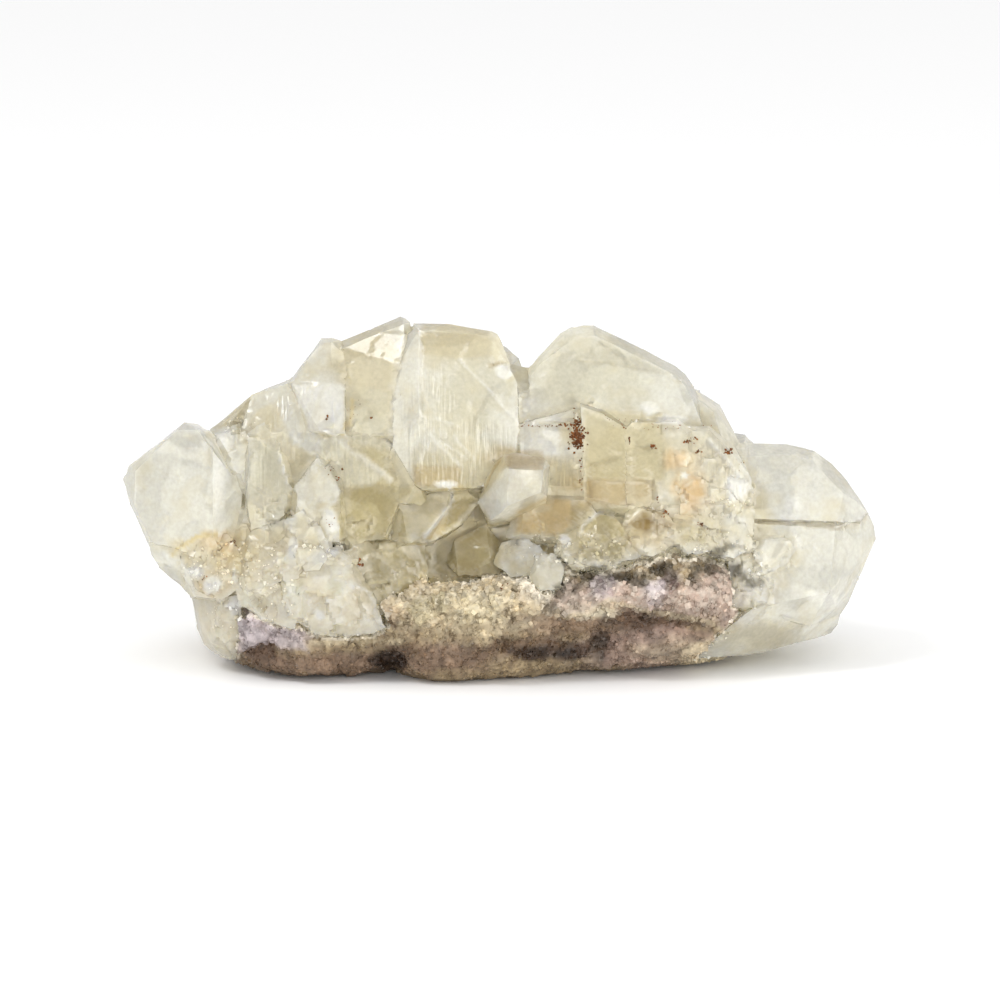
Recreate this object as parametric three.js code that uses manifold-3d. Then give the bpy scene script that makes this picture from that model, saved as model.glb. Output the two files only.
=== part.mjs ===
// A fluorite cluster: pale see-through crystals, grown together on a purple and brown matrix with small
// crystals on it. Millimetres, +Z up, the side that is looked at faces -Y. The origin is on the surface that
// the cluster rests on, under the middle of it.
import * as THREE from "three";
import { ConvexGeometry } from "three/addons/geometries/ConvexGeometry.js";
import { mergeVertices } from "three/addons/utils/BufferGeometryUtils.js";
import Module from "manifold-3d";

const wasm = await Module();
wasm.setup();

// Driving dimensions
// The cluster is described as seen from the front and a little above.
const LOOK_DOWN = THREE.MathUtils.degToRad(10);
const LOOK_FROM = 555.6; // how far away that view is taken
const LOOK_AT = 15.7; // the height that it looks at
const SEEN_MIDDLE = 17.7; // how far that point seems to be above the lowest point
const MATRIX_TOP = 12.5;
const MATRIX_TOP_SLOPE = 0.012; // the share of its height that it gains with each millimetre to the right
const JOINT_GAP = 0.3; // left between the crystals and the matrix that holds them
const FINEST = 0.07; // corners that stand out less than this are left out

// A point that seems to be x to the right and h up from the lowest point, and lies at the depth y.
const eye = new THREE.Vector3(0, -Math.cos(LOOK_DOWN), Math.sin(LOOK_DOWN))
  .multiplyScalar(LOOK_FROM)
  .add(new THREE.Vector3(0, 0, LOOK_AT));
function sight([x, h]) {
  const up = h - SEEN_MIDDLE;
  const picture = new THREE.Vector3(x, up * Math.sin(LOOK_DOWN), LOOK_AT + up * Math.cos(LOOK_DOWN));
  return picture.sub(eye);
}
function seen([x, h, y]) {
  const ray = sight([x, h]);
  return eye.clone().addScaledVector(ray, (y - eye.y) / ray.y);
}

// The corners of one flat face: the first three have a depth, and the others lie on their plane.
function face(corners) {
  const firm = corners.slice(0, 3).map(seen);
  const plane = new THREE.Plane().setFromCoplanarPoints(...firm);
  const others = corners.slice(3).map((corner) => {
    const ray = sight(corner);
    return eye.clone().addScaledVector(ray, -plane.distanceToPoint(eye) / plane.normal.dot(ray));
  });
  return [...firm, ...others];
}

// Solids
function solidOf(geometry) {
  const bare = new THREE.BufferGeometry();
  bare.setAttribute("position", geometry.getAttribute("position"));
  if (geometry.index) bare.setIndex(geometry.index);
  const merged = mergeVertices(bare, 1e-3);
  return new wasm.Manifold(
    new wasm.Mesh({
      numProp: 3,
      vertProperties: merged.attributes.position.array,
      triVerts: new Uint32Array(merged.index.array),
    }),
  );
}

function geometryOf(solid) {
  const mesh = solid.getMesh();
  const geometry = new THREE.BufferGeometry();
  geometry.setAttribute("position", new THREE.BufferAttribute(new Float32Array(mesh.vertProperties), 3));
  geometry.setIndex(new THREE.BufferAttribute(new Uint32Array(mesh.triVerts), 1));
  return geometry;
}

const join = (solids) => solids.reduce((all, one) => all.add(one));

function largest(solid) {
  return solid.decompose().reduce((best, one) => (one.volume() > best.volume() ? one : best));
}

// One flat-faced crystal round the given points, each moved out from the middle by grow.
function faceted(points, grow = 0) {
  const middle = points.reduce((sum, p) => sum.add(p), new THREE.Vector3()).divideScalar(points.length);
  const moved = points.map((p) => p.clone().add(p.clone().sub(middle).setLength(grow)));
  return solidOf(new ConvexGeometry(grow > 0 ? moved : points));
}

// The corners of a cube-like crystal with its own corners cut off.
function blockCorners({ at, size, turn, cut = 0.15 }) {
  const place = new THREE.Matrix4().makeRotationFromEuler(
    new THREE.Euler(...turn.map((degrees) => THREE.MathUtils.degToRad(degrees))),
  );
  place.setPosition(...at);
  const corners = [];
  for (const x of [-0.5, 0.5]) {
    for (const y of [-0.5, 0.5]) {
      for (const z of [-0.5, 0.5]) {
        for (const short of [0, 1, 2]) {
          const corner = new THREE.Vector3(x, y, z);
          corner.setComponent(short, corner.getComponent(short) * (1 - 2 * cut));
          corners.push(corner.multiply(new THREE.Vector3(...size)).applyMatrix4(place));
        }
      }
    }
  }
  return corners;
}

// Crystals of the front, each with its flat faces and with single corners. Each row is [right, up, depth]
// of a corner, as seen from the front.
const FRONT_CRYSTALS = {
  left_block: {
    faces: [
      [
        [-28.7, 22.6, -11.2], [-28.7, 11.6, -12.2], [-36.6, 17.0, -7.6], [-36.6, 20.6], [-34.8, 22.4],
        [-32.4, 24.7], [-30.2, 24.8], [-34.8, 13.4],
      ],
      [[-28.7, 22.6, -11.2], [-28.7, 11.6, -12.2], [-25.6, 18.8, -8.8], [-26.2, 12.6]],
    ],
    corners: [
      [-31.6, 25.6, -7.0], [-30.2, 25.4, -6.4], [-28.8, 24.6, -7.0], [-37.8, 19.8, -5.0],
      [-37.2, 21.2, -5.4], [-37.1, 17.2, -5.6], [-35.4, 13.4, -6.6], [-36.0, 20.5, 2.5], [-31.0, 24.0, 4.0],
      [-26.0, 22.0, 4.0], [-34.5, 12.0, 2.0], [-26.0, 11.0, 2.0],
    ],
  },
  left_foot: {
    corners: [
      [-35.3, 13.9, -7.8], [-35.0, 12.2, -7.8], [-34.2, 10.9, -8.2], [-33.2, 10.0, -8.8],
      [-31.6, 9.2, -9.6], [-30.7, 7.8, -10.0], [-28.6, 14.2, -11.9], [-33.0, 14.4, -9.6],
      [-27.0, 9.0, -12.4], [-33.5, 12.0, 0.0], [-29.0, 9.0, 1.0],
    ],
  },
  back_wedge: {
    corners: [
      [-29.2, 24.6, -3.0], [-28.0, 25.6, -3.4], [-26.5, 26.9, -4.0], [-24.9, 28.3, -4.6],
      [-23.5, 20.0, -8.4], [-28.5, 17.0, -8.6], [-28.8, 22.6, -7.4], [-29.0, 23.0, 5.0], [-24.0, 26.0, 6.0],
      [-24.0, 16.0, 5.0],
    ],
  },
  glint_block: {
    faces: [
      [[-28.4, 24.4, -7.6], [-25.9, 20.2, -10.0], [-24.6, 22.8, -8.8], [-26.0, 25.2], [-24.9, 24.8]],
    ],
    corners: [[-28.4, 21.6, -8.4], [-25.0, 17.6, -9.4], [-28.0, 22.8, 0.0], [-24.0, 18.0, 0.0]],
  },
  fractured_peak: {
    faces: [
      [[-25.0, 28.3, -6.6], [-25.8, 25.0, -8.0], [-21.8, 24.6, -9.6], [-23.6, 28.6], [-24.4, 23.6]],
      [[-23.6, 28.6, -7.0], [-21.8, 24.6, -9.6], [-20.0, 27.4, -8.4], [-21.4, 29.4]],
    ],
    corners: [
      [-24.9, 28.3, -5.0], [-23.8, 28.8, -4.8], [-22.5, 29.2, -4.6], [-21.2, 29.7, -4.6],
      [-20.2, 30.3, -4.4], [-19.8, 26.0, -9.0], [-18.6, 22.4, -10.0], [-18.8, 19.6, -10.4],
      [-21.4, 18.7, -10.4], [-25.0, 27.0, 4.0], [-20.0, 29.0, 5.0], [-19.0, 18.0, 2.0],
    ],
  },
  striated_blade: {
    faces: [
      [
        [-25.3, 24.4, -9.4], [-23.6, 25.6, -9.0], [-21.3, 16.2, -12.6], [-21.7, 22.4], [-20.8, 18.8],
        [-25.0, 14.6],
      ],
    ],
    corners: [
      [-25.6, 20.0, -9.6], [-25.6, 15.4, -11.0], [-20.3, 18.0, -11.0], [-20.9, 22.0, -9.6],
      [-24.0, 22.0, -2.0], [-20.0, 16.0, -3.0], [-24.0, 12.0, -3.0],
    ],
  },
  tan_hollow: {
    corners: [
      [-21.6, 22.6, -9.4], [-20.0, 25.4, -8.8], [-18.0, 24.0, -10.2], [-17.6, 21.6, -10.8],
      [-19.6, 18.8, -11.2], [-21.0, 19.4, -10.6], [-20.0, 24.0, 0.0], [-17.0, 20.0, 0.0],
      [-21.0, 17.0, -2.0],
    ],
  },
  pointed_crystal: {
    faces: [
      [
        [-17.9, 33.6, -6.2], [-16.9, 33.6, -6.4], [-16.6, 24.2, -11.2], [-18.0, 24.6], [-19.6, 27.2],
        [-20.8, 29.6], [-19.4, 31.4],
      ],
      [[-16.9, 33.6, -6.4], [-16.6, 24.2, -11.2], [-15.3, 26.6, -9.6], [-15.6, 32.4], [-15.4, 24.4]],
    ],
    corners: [
      [-17.9, 34.0, -5.2], [-16.8, 34.0, -5.0], [-15.8, 33.7, -5.0], [-18.8, 32.6, -5.2],
      [-20.2, 30.7, -6.0], [-21.3, 29.4, -6.4], [-19.4, 24.6, -9.4], [-18.0, 32.5, 4.0], [-15.5, 32.0, 4.0],
      [-20.5, 27.0, 4.0], [-15.0, 20.0, -4.0], [-17.0, 20.0, 2.0],
    ],
  },
  back_left_tower: {
    faces: [
      [[-15.6, 33.0, -6.4], [-9.6, 35.4, -6.4], [-10.8, 24.0, -11.0], [-13.0, 34.1], [-15.4, 24.0]],
    ],
    corners: [
      [-15.9, 33.7, -5.0], [-13.5, 34.6, -4.6], [-11.0, 35.6, -4.4], [-10.0, 36.2, -4.4],
      [-9.3, 36.0, -4.6], [-8.9, 35.6, -5.8], [-9.4, 31.0, -9.4], [-9.4, 24.0, -11.4], [-16.4, 29.0, -7.6],
      [-16.6, 24.0, -9.6], [-16.5, 32.0, 6.0], [-9.0, 34.6, 7.0], [-16.0, 17.0, 4.0], [-8.0, 17.0, 5.0],
    ],
  },
  slanting_face: {
    faces: [
      [[-18.4, 23.4, -10.6], [-15.2, 24.2, -11.0], [-9.9, 17.8, -13.0], [-10.4, 19.6]],
      [[-18.4, 23.4, -10.6], [-9.9, 17.8, -13.0], [-15.0, 13.2, -13.4], [-16.0, 17.2], [-11.4, 14.0]],
    ],
    corners: [
      [-18.0, 25.0, -9.6], [-12.0, 24.6, -10.2], [-8.6, 20.6, -11.8], [-18.4, 16.0, -11.2],
      [-16.0, 22.0, 0.0], [-10.0, 20.0, 0.0], [-14.0, 11.0, -3.0], [-9.0, 12.0, -4.0],
    ],
  },
  great_crystal: {
    faces: [
      [
        [-8.1, 34.7, -8.8], [-8.1, 22.6, -13.0], [1.9, 25.0, -8.6], [-1.0, 34.2], [-0.2, 32.4], [1.8, 29.4],
        [1.6, 22.0], [-2.2, 18.8], [-7.8, 18.8],
      ],
      [
        [-8.1, 34.7, -8.8], [-8.1, 22.6, -13.0], [-10.7, 27.7, -10.2], [-10.1, 31.2], [-10.8, 23.0],
        [-8.6, 19.2],
      ],
    ],
    corners: [
      [-8.7, 35.5, -6.8], [-5.0, 35.4, -6.2], [-0.8, 34.7, -5.6], [-0.2, 34.4, -5.4], [0.2, 33.6, -5.2],
      [0.5, 32.4, -5.0], [0.9, 31.6, -4.8], [2.2, 28.0, -6.0], [2.4, 22.0, -7.0], [-9.0, 33.8, 8.0],
      [-0.8, 33.0, 8.0], [1.8, 27.0, 7.0], [-10.0, 17.0, 6.0], [1.5, 16.0, 6.0],
    ],
  },
  great_crystal_foot: {
    faces: [
      [[-11.0, 23.2, -11.2], [-8.2, 22.4, -13.0], [-9.4, 17.2, -13.4], [-11.2, 20.0], [-8.3, 19.6]],
    ],
    corners: [
      [-7.4, 17.4, -12.6], [-7.4, 21.0, -12.0], [-11.4, 17.6, -12.4], [-11.0, 20.0, -4.0],
      [-8.0, 16.0, -4.0],
    ],
  },
  notch_block: {
    corners: [
      [0.7, 31.5, -3.5], [1.7, 31.1, -3.2], [3.0, 31.0, -3.5], [3.4, 28.0, -6.2], [3.6, 24.0, -7.6],
      [1.4, 28.0, -6.8], [1.2, 24.0, -8.0], [0.5, 29.0, 4.0], [3.0, 29.0, 4.0], [2.0, 18.0, 3.0],
      [3.0, 18.0, -7.0],
    ],
  },
  right_tower: {
    faces: [
      [
        [7.6, 34.1, -4.4], [2.7, 22.5, -8.2], [20.3, 23.0, -8.4], [2.7, 29.8], [4.0, 31.4], [9.6, 34.2],
        [12.8, 32.6], [17.2, 30.4], [18.6, 29.2], [19.5, 27.4], [20.3, 25.2],
      ],
    ],
    corners: [
      [2.7, 30.8, -4.6], [3.7, 32.1, -3.6], [5.0, 33.3, -3.2], [6.0, 34.5, -2.8], [7.0, 35.0, -2.6],
      [8.3, 35.3, -2.4], [9.4, 35.3, -2.2], [10.2, 34.9, -2.2], [11.5, 34.1, -2.4], [13.3, 33.3, -2.6],
      [15.0, 32.5, -2.8], [17.6, 31.2, -3.0], [18.6, 30.4, -3.2], [19.3, 29.4, -3.6], [19.8, 28.4, -4.2],
      [4.0, 31.5, 10.0], [9.0, 34.6, 9.0], [17.0, 30.5, 8.0], [20.5, 22.0, 8.0], [2.5, 20.0, 8.0],
    ],
  },
  right_tower_step: {
    faces: [
      [[19.0, 28.4, -5.0], [22.2, 24.0, -6.8], [18.6, 22.0, -8.2], [21.4, 26.6]],
    ],
    corners: [
      [19.0, 29.3, -1.6], [19.8, 28.5, -2.0], [21.2, 27.9, -2.0], [22.1, 27.3, -2.2], [22.6, 26.2, -2.8],
      [22.9, 24.5, -3.6], [23.3, 23.8, -4.4], [24.2, 23.2, -4.6], [24.0, 20.0, -7.0], [19.0, 27.5, 7.0],
      [23.0, 25.0, 6.0], [24.0, 19.0, 5.0], [18.0, 18.0, 5.0],
    ],
  },
  bright_block: {
    faces: [
      [[1.9, 25.4, -8.2], [2.0, 21.6, -9.8], [8.0, 25.8, -9.4], [5.4, 25.8], [8.2, 19.0], [5.0, 19.0]],
    ],
    corners: [
      [1.6, 20.0, -9.0], [4.0, 16.6, -10.8], [8.6, 16.6, -11.6], [8.0, 27.0, -8.0], [2.0, 25.6, -6.0],
      [2.0, 23.0, 2.0], [8.0, 24.0, 2.0], [5.0, 14.0, 0.0],
    ],
  },
  middle_block: {
    faces: [
      [[8.0, 27.1, -9.2], [8.3, 18.0, -12.6], [12.6, 25.0, -10.4], [10.2, 26.4], [12.8, 17.0]],
    ],
    corners: [
      [8.0, 27.4, -8.0], [10.4, 26.8, -8.4], [12.6, 25.4, -9.2], [8.4, 16.6, -12.0], [13.0, 16.0, -12.2],
      [9.0, 26.0, 2.0], [13.0, 23.0, 2.0], [9.0, 13.0, 0.0], [13.0, 13.0, 0.0],
    ],
  },
  rusty_block: {
    faces: [
      [
        [12.4, 24.8, -10.4], [12.4, 17.2, -12.8], [18.8, 24.4, -10.0], [13.2, 25.6], [17.6, 25.6],
        [18.9, 21.0], [16.6, 17.6],
      ],
    ],
    corners: [
      [13.0, 26.0, -9.2], [17.8, 25.9, -8.8], [19.4, 24.8, -8.8], [18.6, 18.0, -12.2], [12.4, 15.6, -12.4],
      [18.0, 15.4, -12.4], [13.0, 25.0, 2.0], [19.0, 24.0, 2.0], [13.0, 13.0, 0.0], [18.0, 13.0, 0.0],
    ],
  },
  amber_block: {
    faces: [
      [
        [19.0, 24.6, -9.2], [23.2, 22.6, -9.6], [19.8, 18.0, -12.6], [21.0, 24.8], [22.8, 19.6],
        [18.7, 21.4],
      ],
      [[23.2, 22.6, -9.6], [22.8, 19.6, -11.4], [25.2, 20.0, -9.6]],
    ],
    corners: [
      [19.0, 25.2, -8.4], [21.0, 25.2, -7.8], [23.6, 23.0, -8.4], [25.6, 16.6, -11.0], [23.0, 17.0, -12.4],
      [17.8, 18.0, -12.6], [18.0, 16.0, -12.8], [20.4, 15.2, -13.2], [25.4, 14.0, -11.6], [20.0, 24.0, 0.0],
      [25.0, 20.0, 0.0], [18.0, 12.0, -1.0], [25.0, 12.0, -1.0],
    ],
  },
  right_crystal_top: {
    faces: [
      [
        [24.0, 22.0, -8.2], [24.8, 15.8, -11.0], [33.8, 15.5, -8.6], [28.4, 22.4], [31.2, 21.8],
        [32.6, 20.4], [34.4, 18.4],
      ],
      [[34.4, 18.4, -7.4], [33.8, 15.5, -8.6], [36.2, 16.4, -6.0], [35.8, 17.6]],
    ],
    corners: [
      [23.4, 23.5, -4.6], [28.7, 23.4, -4.2], [30.0, 23.0, -4.4], [31.5, 22.7, -4.4], [33.3, 21.4, -4.4],
      [34.8, 19.7, -4.6], [36.2, 17.7, -4.8], [37.0, 16.4, -5.0], [36.2, 15.4, -6.4], [22.6, 20.0, -7.6],
      [23.0, 15.0, -9.4], [24.0, 22.0, 6.0], [31.0, 21.6, 7.0], [35.4, 16.5, 6.0], [24.0, 13.0, 5.0],
      [34.0, 12.0, 5.0],
    ],
  },
  right_crystal_low: {
    faces: [
      [[25.0, 15.4, -11.0], [26.0, 7.0, -12.4], [33.6, 15.0, -8.7], [33.0, 8.4]],
    ],
    corners: [
      [36.9, 16.6, -4.6], [37.5, 15.2, -4.0], [37.7, 13.8, -4.0], [36.9, 12.0, -4.4], [36.0, 9.8, -4.6],
      [35.0, 7.5, -4.8], [34.2, 6.2, -5.0], [35.6, 13.6, -6.8], [31.0, 5.0, -8.6], [22.6, 14.6, -10.6],
      [23.0, 7.0, -12.4], [36.5, 14.0, 6.0], [34.0, 7.0, 5.0], [24.0, 6.0, 5.0], [24.0, 14.0, 6.0],
    ],
  },
  right_foot: {
    corners: [
      [34.2, 6.6, -4.2], [33.9, 5.2, -3.8], [33.2, 4.3, -3.8], [32.4, 4.0, -4.0], [31.2, 4.2, -4.6],
      [30.2, 4.1, -5.0], [28.6, 3.2, -6.6], [26.5, 2.4, -8.2], [24.5, 2.0, -9.0], [22.5, 2.0, -9.6],
      [19.6, 1.8, -10.4], [21.4, 3.8, -13.4], [25.4, 7.0, -13.0], [29.0, 6.8, -10.6], [32.0, 7.4, -7.8],
      [31.0, 5.6, 4.0], [24.0, 4.4, 4.0], [22.0, 8.0, 0.0], [27.0, 10.0, 3.0],
    ],
  },
  shell_chip: {
    faces: [
      [[25.6, 13.6, -11.6], [28.9, 14.0, -10.6], [27.2, 10.4, -11.9], [29.8, 12.8], [25.4, 11.6]],
    ],
    corners: [[28.8, 11.2, -11.2], [26.0, 10.2, -11.8], [24.8, 14.6, -10.6], [27.0, 12.0, -6.0]],
  },
  front_crystal: {
    faces: [
      [[0.9, 20.8, -15.0], [4.4, 20.7, -14.6], [0.6, 16.9, -15.6], [4.2, 18.4]],
      [[0.2, 22.3, -12.4], [3.0, 22.3, -12.4], [0.9, 20.8, -15.0], [4.4, 20.7]],
    ],
    corners: [
      [1.3, 22.6, -11.6], [4.6, 21.9, -12.2], [5.1, 21.2, -12.4], [5.1, 19.8, -12.8], [4.8, 18.0, -13.6],
      [2.4, 16.9, -14.2], [-0.2, 15.7, -14.4], [-1.3, 15.4, -13.8], [-2.3, 17.4, -13.0],
      [-1.6, 18.8, -12.8], [-1.4, 20.2, -12.4], [-0.4, 21.8, -12.0], [-2.0, 19.0, -6.0], [4.0, 20.0, -6.0],
      [-1.0, 14.0, -7.0], [4.0, 15.0, -7.0],
    ],
  },
  round_shoulder: {
    faces: [
      [[-18.2, 22.0, -11.6], [-20.3, 19.8, -11.8], [-17.0, 17.4, -13.4], [-16.4, 19.6], [-20.4, 17.2]],
      [[-17.0, 17.4, -13.4], [-20.4, 17.2, -13.1], [-16.0, 13.4, -14.2], [-15.8, 17.0], [-18.2, 13.6]],
    ],
    corners: [
      [-18.2, 22.4, -10.8], [-21.2, 18.0, -11.6], [-21.0, 15.6, -12.6], [-15.4, 20.0, -11.2],
      [-15.2, 14.0, -13.2], [-19.0, 20.0, -3.0], [-16.0, 19.0, -3.0], [-20.0, 11.0, -5.0],
      [-15.0, 11.0, -5.0],
    ],
  },
  leaning_blade: {
    faces: [
      [[-21.2, 16.0, -13.8], [-19.6, 17.0, -13.8], [-17.2, 12.0, -15.6], [-19.6, 10.4]],
    ],
    corners: [
      [-22.0, 14.6, -13.4], [-16.8, 13.0, -14.6], [-18.0, 10.6, -15.4], [-20.0, 15.0, -7.0],
      [-17.0, 10.0, -8.0], [-21.0, 11.0, -8.0],
    ],
  },
  left_slab: {
    faces: [
      [[-25.2, 14.4, -12.8], [-21.6, 15.8, -12.8], [-20.0, 9.8, -15.8], [-25.0, 8.6]],
    ],
    corners: [
      [-26.4, 12.6, -12.4], [-26.0, 9.0, -14.2], [-19.0, 13.0, -13.6], [-24.6, 7.4, -14.6],
      [-24.0, 13.0, -4.0], [-19.0, 12.0, -4.0], [-24.0, 8.0, -5.0], [-20.0, 7.4, -6.0],
    ],
  },
  milky_lobe: {
    faces: [
      [[-19.4, 9.8, -15.6], [-15.8, 10.2, -15.4], [-18.0, 5.2, -16.4], [-13.4, 5.8]],
      [[-15.8, 10.2, -15.4], [-14.6, 12.0, -14.2], [-13.4, 5.8, -16.1], [-13.0, 9.2], [-11.8, 6.2]],
    ],
    corners: [
      [-19.6, 11.8, -14.8], [-17.0, 13.2, -14.2], [-14.8, 13.0, -13.6], [-11.4, 5.0, -15.2],
      [-12.6, 4.3, -15.5], [-15.2, 3.9, -15.9], [-18.4, 4.1, -15.9], [-20.4, 5.4, -15.8],
      [-21.6, 8.4, -15.4], [-16.0, 10.0, -5.0], [-12.0, 7.0, -6.0], [-20.0, 6.0, -6.0], [-13.0, 4.4, -6.0],
    ],
  },
  low_left_lump: {
    corners: [
      [-26.4, 8.8, -13.4], [-26.2, 7.0, -13.2], [-22.0, 9.6, -15.2], [-20.0, 9.0, -15.7],
      [-20.4, 4.6, -16.0], [-22.4, 5.2, -15.6], [-24.4, 6.4, -14.6], [-25.0, 9.0, -6.0], [-21.0, 6.0, -6.0],
    ],
  },
  tan_slab: {
    faces: [
      [[-14.9, 13.4, -13.6], [-10.0, 13.4, -13.0], [-13.2, 7.4, -14.6], [-8.6, 8.6]],
    ],
    corners: [
      [-16.0, 14.0, -12.6], [-7.4, 13.0, -12.0], [-7.0, 9.6, -12.8], [-9.0, 7.0, -13.8],
      [-12.4, 6.0, -14.2], [-14.0, 13.0, -4.0], [-8.0, 12.0, -4.0], [-12.0, 6.0, -5.0],
    ],
  },
  tan_wedge: {
    faces: [
      [[-10.0, 17.7, -12.6], [-5.2, 18.6, -12.4], [-9.2, 13.2, -13.8], [-5.4, 16.8], [-7.2, 14.4]],
    ],
    corners: [
      [-11.0, 16.0, -12.4], [-10.6, 12.8, -13.0], [-4.6, 17.6, -11.6], [-6.4, 13.4, -12.4],
      [-8.0, 17.0, -4.0], [-8.0, 12.0, -5.0], [-5.0, 15.0, -4.0],
    ],
  },
  yellow_wedge: {
    corners: [
      [-5.2, 18.8, -11.6], [-3.2, 18.6, -11.4], [-1.9, 17.6, -11.6], [-3.2, 15.6, -12.2],
      [-5.2, 14.2, -12.8], [-7.2, 13.4, -13.0], [-6.2, 16.2, -12.8], [-2.6, 17.0, -4.0], [-6.0, 13.0, -5.0],
    ],
  },
  recess_wall: {
    corners: [
      [-8.5, 19.0, -9.6], [3.0, 19.0, -9.6], [3.0, 11.0, -11.0], [-1.0, 8.0, -12.0], [-6.0, 8.0, -11.8],
      [-9.0, 11.0, -11.2], [-2.4, 13.0, -11.4], [-6.0, 15.0, 4.0], [1.0, 15.0, 4.0], [-3.0, 7.0, 2.0],
    ],
  },
  recess_crystal: {
    faces: [
      [[-4.6, 13.8, -11.6], [-1.4, 15.4, -11.4], [-1.0, 11.4, -13.0], [-4.2, 10.2]],
    ],
    corners: [
      [-5.4, 11.4, -11.4], [0.2, 13.4, -11.4], [0.0, 10.0, -12.6], [-3.0, 12.0, -5.0], [-2.0, 9.0, -6.0],
    ],
  },
  rusty_slab: {
    faces: [
      [[2.4, 16.8, -12.4], [8.2, 17.8, -12.4], [2.0, 14.2, -13.6], [9.8, 16.4], [5.6, 13.8]],
    ],
    corners: [
      [1.0, 15.4, -12.4], [0.8, 14.0, -12.6], [3.4, 18.2, -11.4], [8.6, 18.2, -11.8], [9.4, 14.0, -13.2],
      [3.0, 17.0, -4.0], [9.0, 17.0, -5.0], [2.0, 12.0, -5.0], [9.0, 12.0, -5.0],
    ],
  },
  edge_lit_crystal: {
    faces: [
      [[5.7, 13.8, -14.4], [9.7, 16.5, -13.4], [9.6, 12.6, -15.6], [6.4, 12.0]],
      [[9.7, 16.5, -13.4], [9.6, 12.6, -15.6], [13.4, 14.0, -13.8], [11.4, 16.2]],
    ],
    corners: [
      [14.2, 12.0, -14.2], [10.2, 10.8, -15.6], [6.6, 11.0, -14.8], [5.4, 12.4, -13.8], [8.0, 13.0, -5.0],
      [13.0, 14.0, -5.0], [10.0, 9.0, -6.0],
    ],
  },
  ochre_tooth: {
    faces: [
      [[12.2, 15.2, -13.6], [15.0, 17.5, -13.0], [13.8, 13.2, -14.6]],
      [[15.0, 17.5, -13.0], [13.8, 13.2, -14.6], [17.8, 14.0, -13.8], [17.0, 16.2]],
    ],
    corners: [
      [12.6, 16.6, -12.6], [18.0, 12.8, -13.8], [15.0, 12.0, -14.4], [13.0, 12.4, -13.8],
      [14.0, 16.0, -5.0], [17.0, 15.0, -5.0], [15.0, 11.0, -6.0],
    ],
  },
  beige_tooth: {
    corners: [
      [17.4, 16.4, -13.0], [19.4, 16.2, -13.2], [20.8, 14.8, -13.2], [20.8, 12.6, -13.4],
      [18.6, 12.0, -14.0], [17.0, 13.4, -13.8], [18.0, 15.6, -5.0], [20.0, 14.0, -5.0], [18.0, 11.0, -6.0],
    ],
  },
  crust_tooth: {
    corners: [
      [20.4, 15.6, -12.8], [24.6, 15.4, -12.0], [25.6, 13.0, -12.0], [23.4, 11.8, -13.0],
      [20.6, 12.4, -13.4], [21.0, 15.0, -4.0], [25.0, 14.0, -4.0], [23.0, 10.0, -5.0],
    ],
  },
  amber_knob: {
    corners: [
      [0.2, 13.4, -12.8], [3.0, 13.8, -13.0], [4.6, 12.4, -13.8], [3.6, 10.2, -14.6], [1.0, 9.8, -14.4],
      [-0.6, 11.4, -13.4], [1.0, 12.0, -6.0], [3.0, 10.0, -7.0],
    ],
  },
  sugar_knob: {
    corners: [
      [3.4, 12.2, -14.4], [5.4, 12.4, -14.6], [6.6, 11.0, -15.2], [6.2, 8.8, -15.9], [4.0, 8.4, -15.9],
      [2.6, 9.6, -15.3], [3.6, 10.8, -15.6], [4.0, 11.0, -8.0], [5.4, 9.0, -8.0],
    ],
  },
  yellow_corner: {
    faces: [
      [[-32.2, 12.2, -9.8], [-30.8, 13.6, -10.0], [-27.4, 10.8, -13.6], [-30.4, 9.4]],
      [[-30.8, 13.6, -10.0], [-27.2, 14.2, -11.4], [-27.4, 10.8, -13.6], [-26.0, 12.4]],
    ],
    corners: [
      [-32.5, 10.7, -8.8], [-31.7, 9.3, -9.6], [-30.6, 8.0, -10.2], [-27.8, 7.4, -12.8],
      [-25.6, 9.4, -13.8], [-25.0, 12.0, -12.4], [-31.0, 12.0, 0.0], [-26.0, 12.0, 0.0], [-29.0, 7.0, -1.0],
    ],
  },
  left_base_crystal: {
    faces: [
      [[-30.2, 7.6, -8.8], [-27.4, 8.0, -12.0], [-29.0, 3.4, -9.8], [-27.4, 3.4]],
    ],
    corners: [
      [-31.0, 8.0, -7.4], [-30.2, 6.5, -7.0], [-30.4, 4.9, -6.8], [-29.7, 3.2, -7.0], [-28.5, 2.2, -7.4],
      [-26.4, 1.6, -9.6], [-25.8, 8.2, -12.6], [-25.8, 4.4, -12.2], [-29.5, 7.0, 2.0], [-27.0, 4.4, 3.0],
      [-27.0, 9.0, 2.0],
    ],
  },
  left_heart: {
    corners: [
      [-30.0, 13.0, -9.0], [-26.0, 17.0, -9.2], [-19.0, 18.0, -10.6], [-12.0, 17.0, -11.0],
      [-9.0, 12.0, -11.6], [-12.0, 8.0, -12.6], [-20.0, 10.0, -13.4], [-26.0, 9.0, -12.4],
      [-28.0, 16.0, 8.0], [-12.0, 18.0, 10.0], [-12.0, 8.0, 8.0], [-27.0, 9.0, 6.0],
    ],
  },
  right_heart: {
    corners: [
      [3.0, 19.0, -8.0], [9.0, 18.0, -11.0], [18.0, 18.0, -11.6], [26.0, 18.0, -9.0], [26.0, 11.0, -9.8],
      [18.0, 12.0, -11.8], [9.0, 12.0, -12.2], [3.0, 12.0, -10.6], [4.0, 20.0, 10.0], [26.0, 18.0, 8.0],
      [4.0, 10.0, 10.0], [26.0, 10.0, 8.0],
    ],
  },
};

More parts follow.
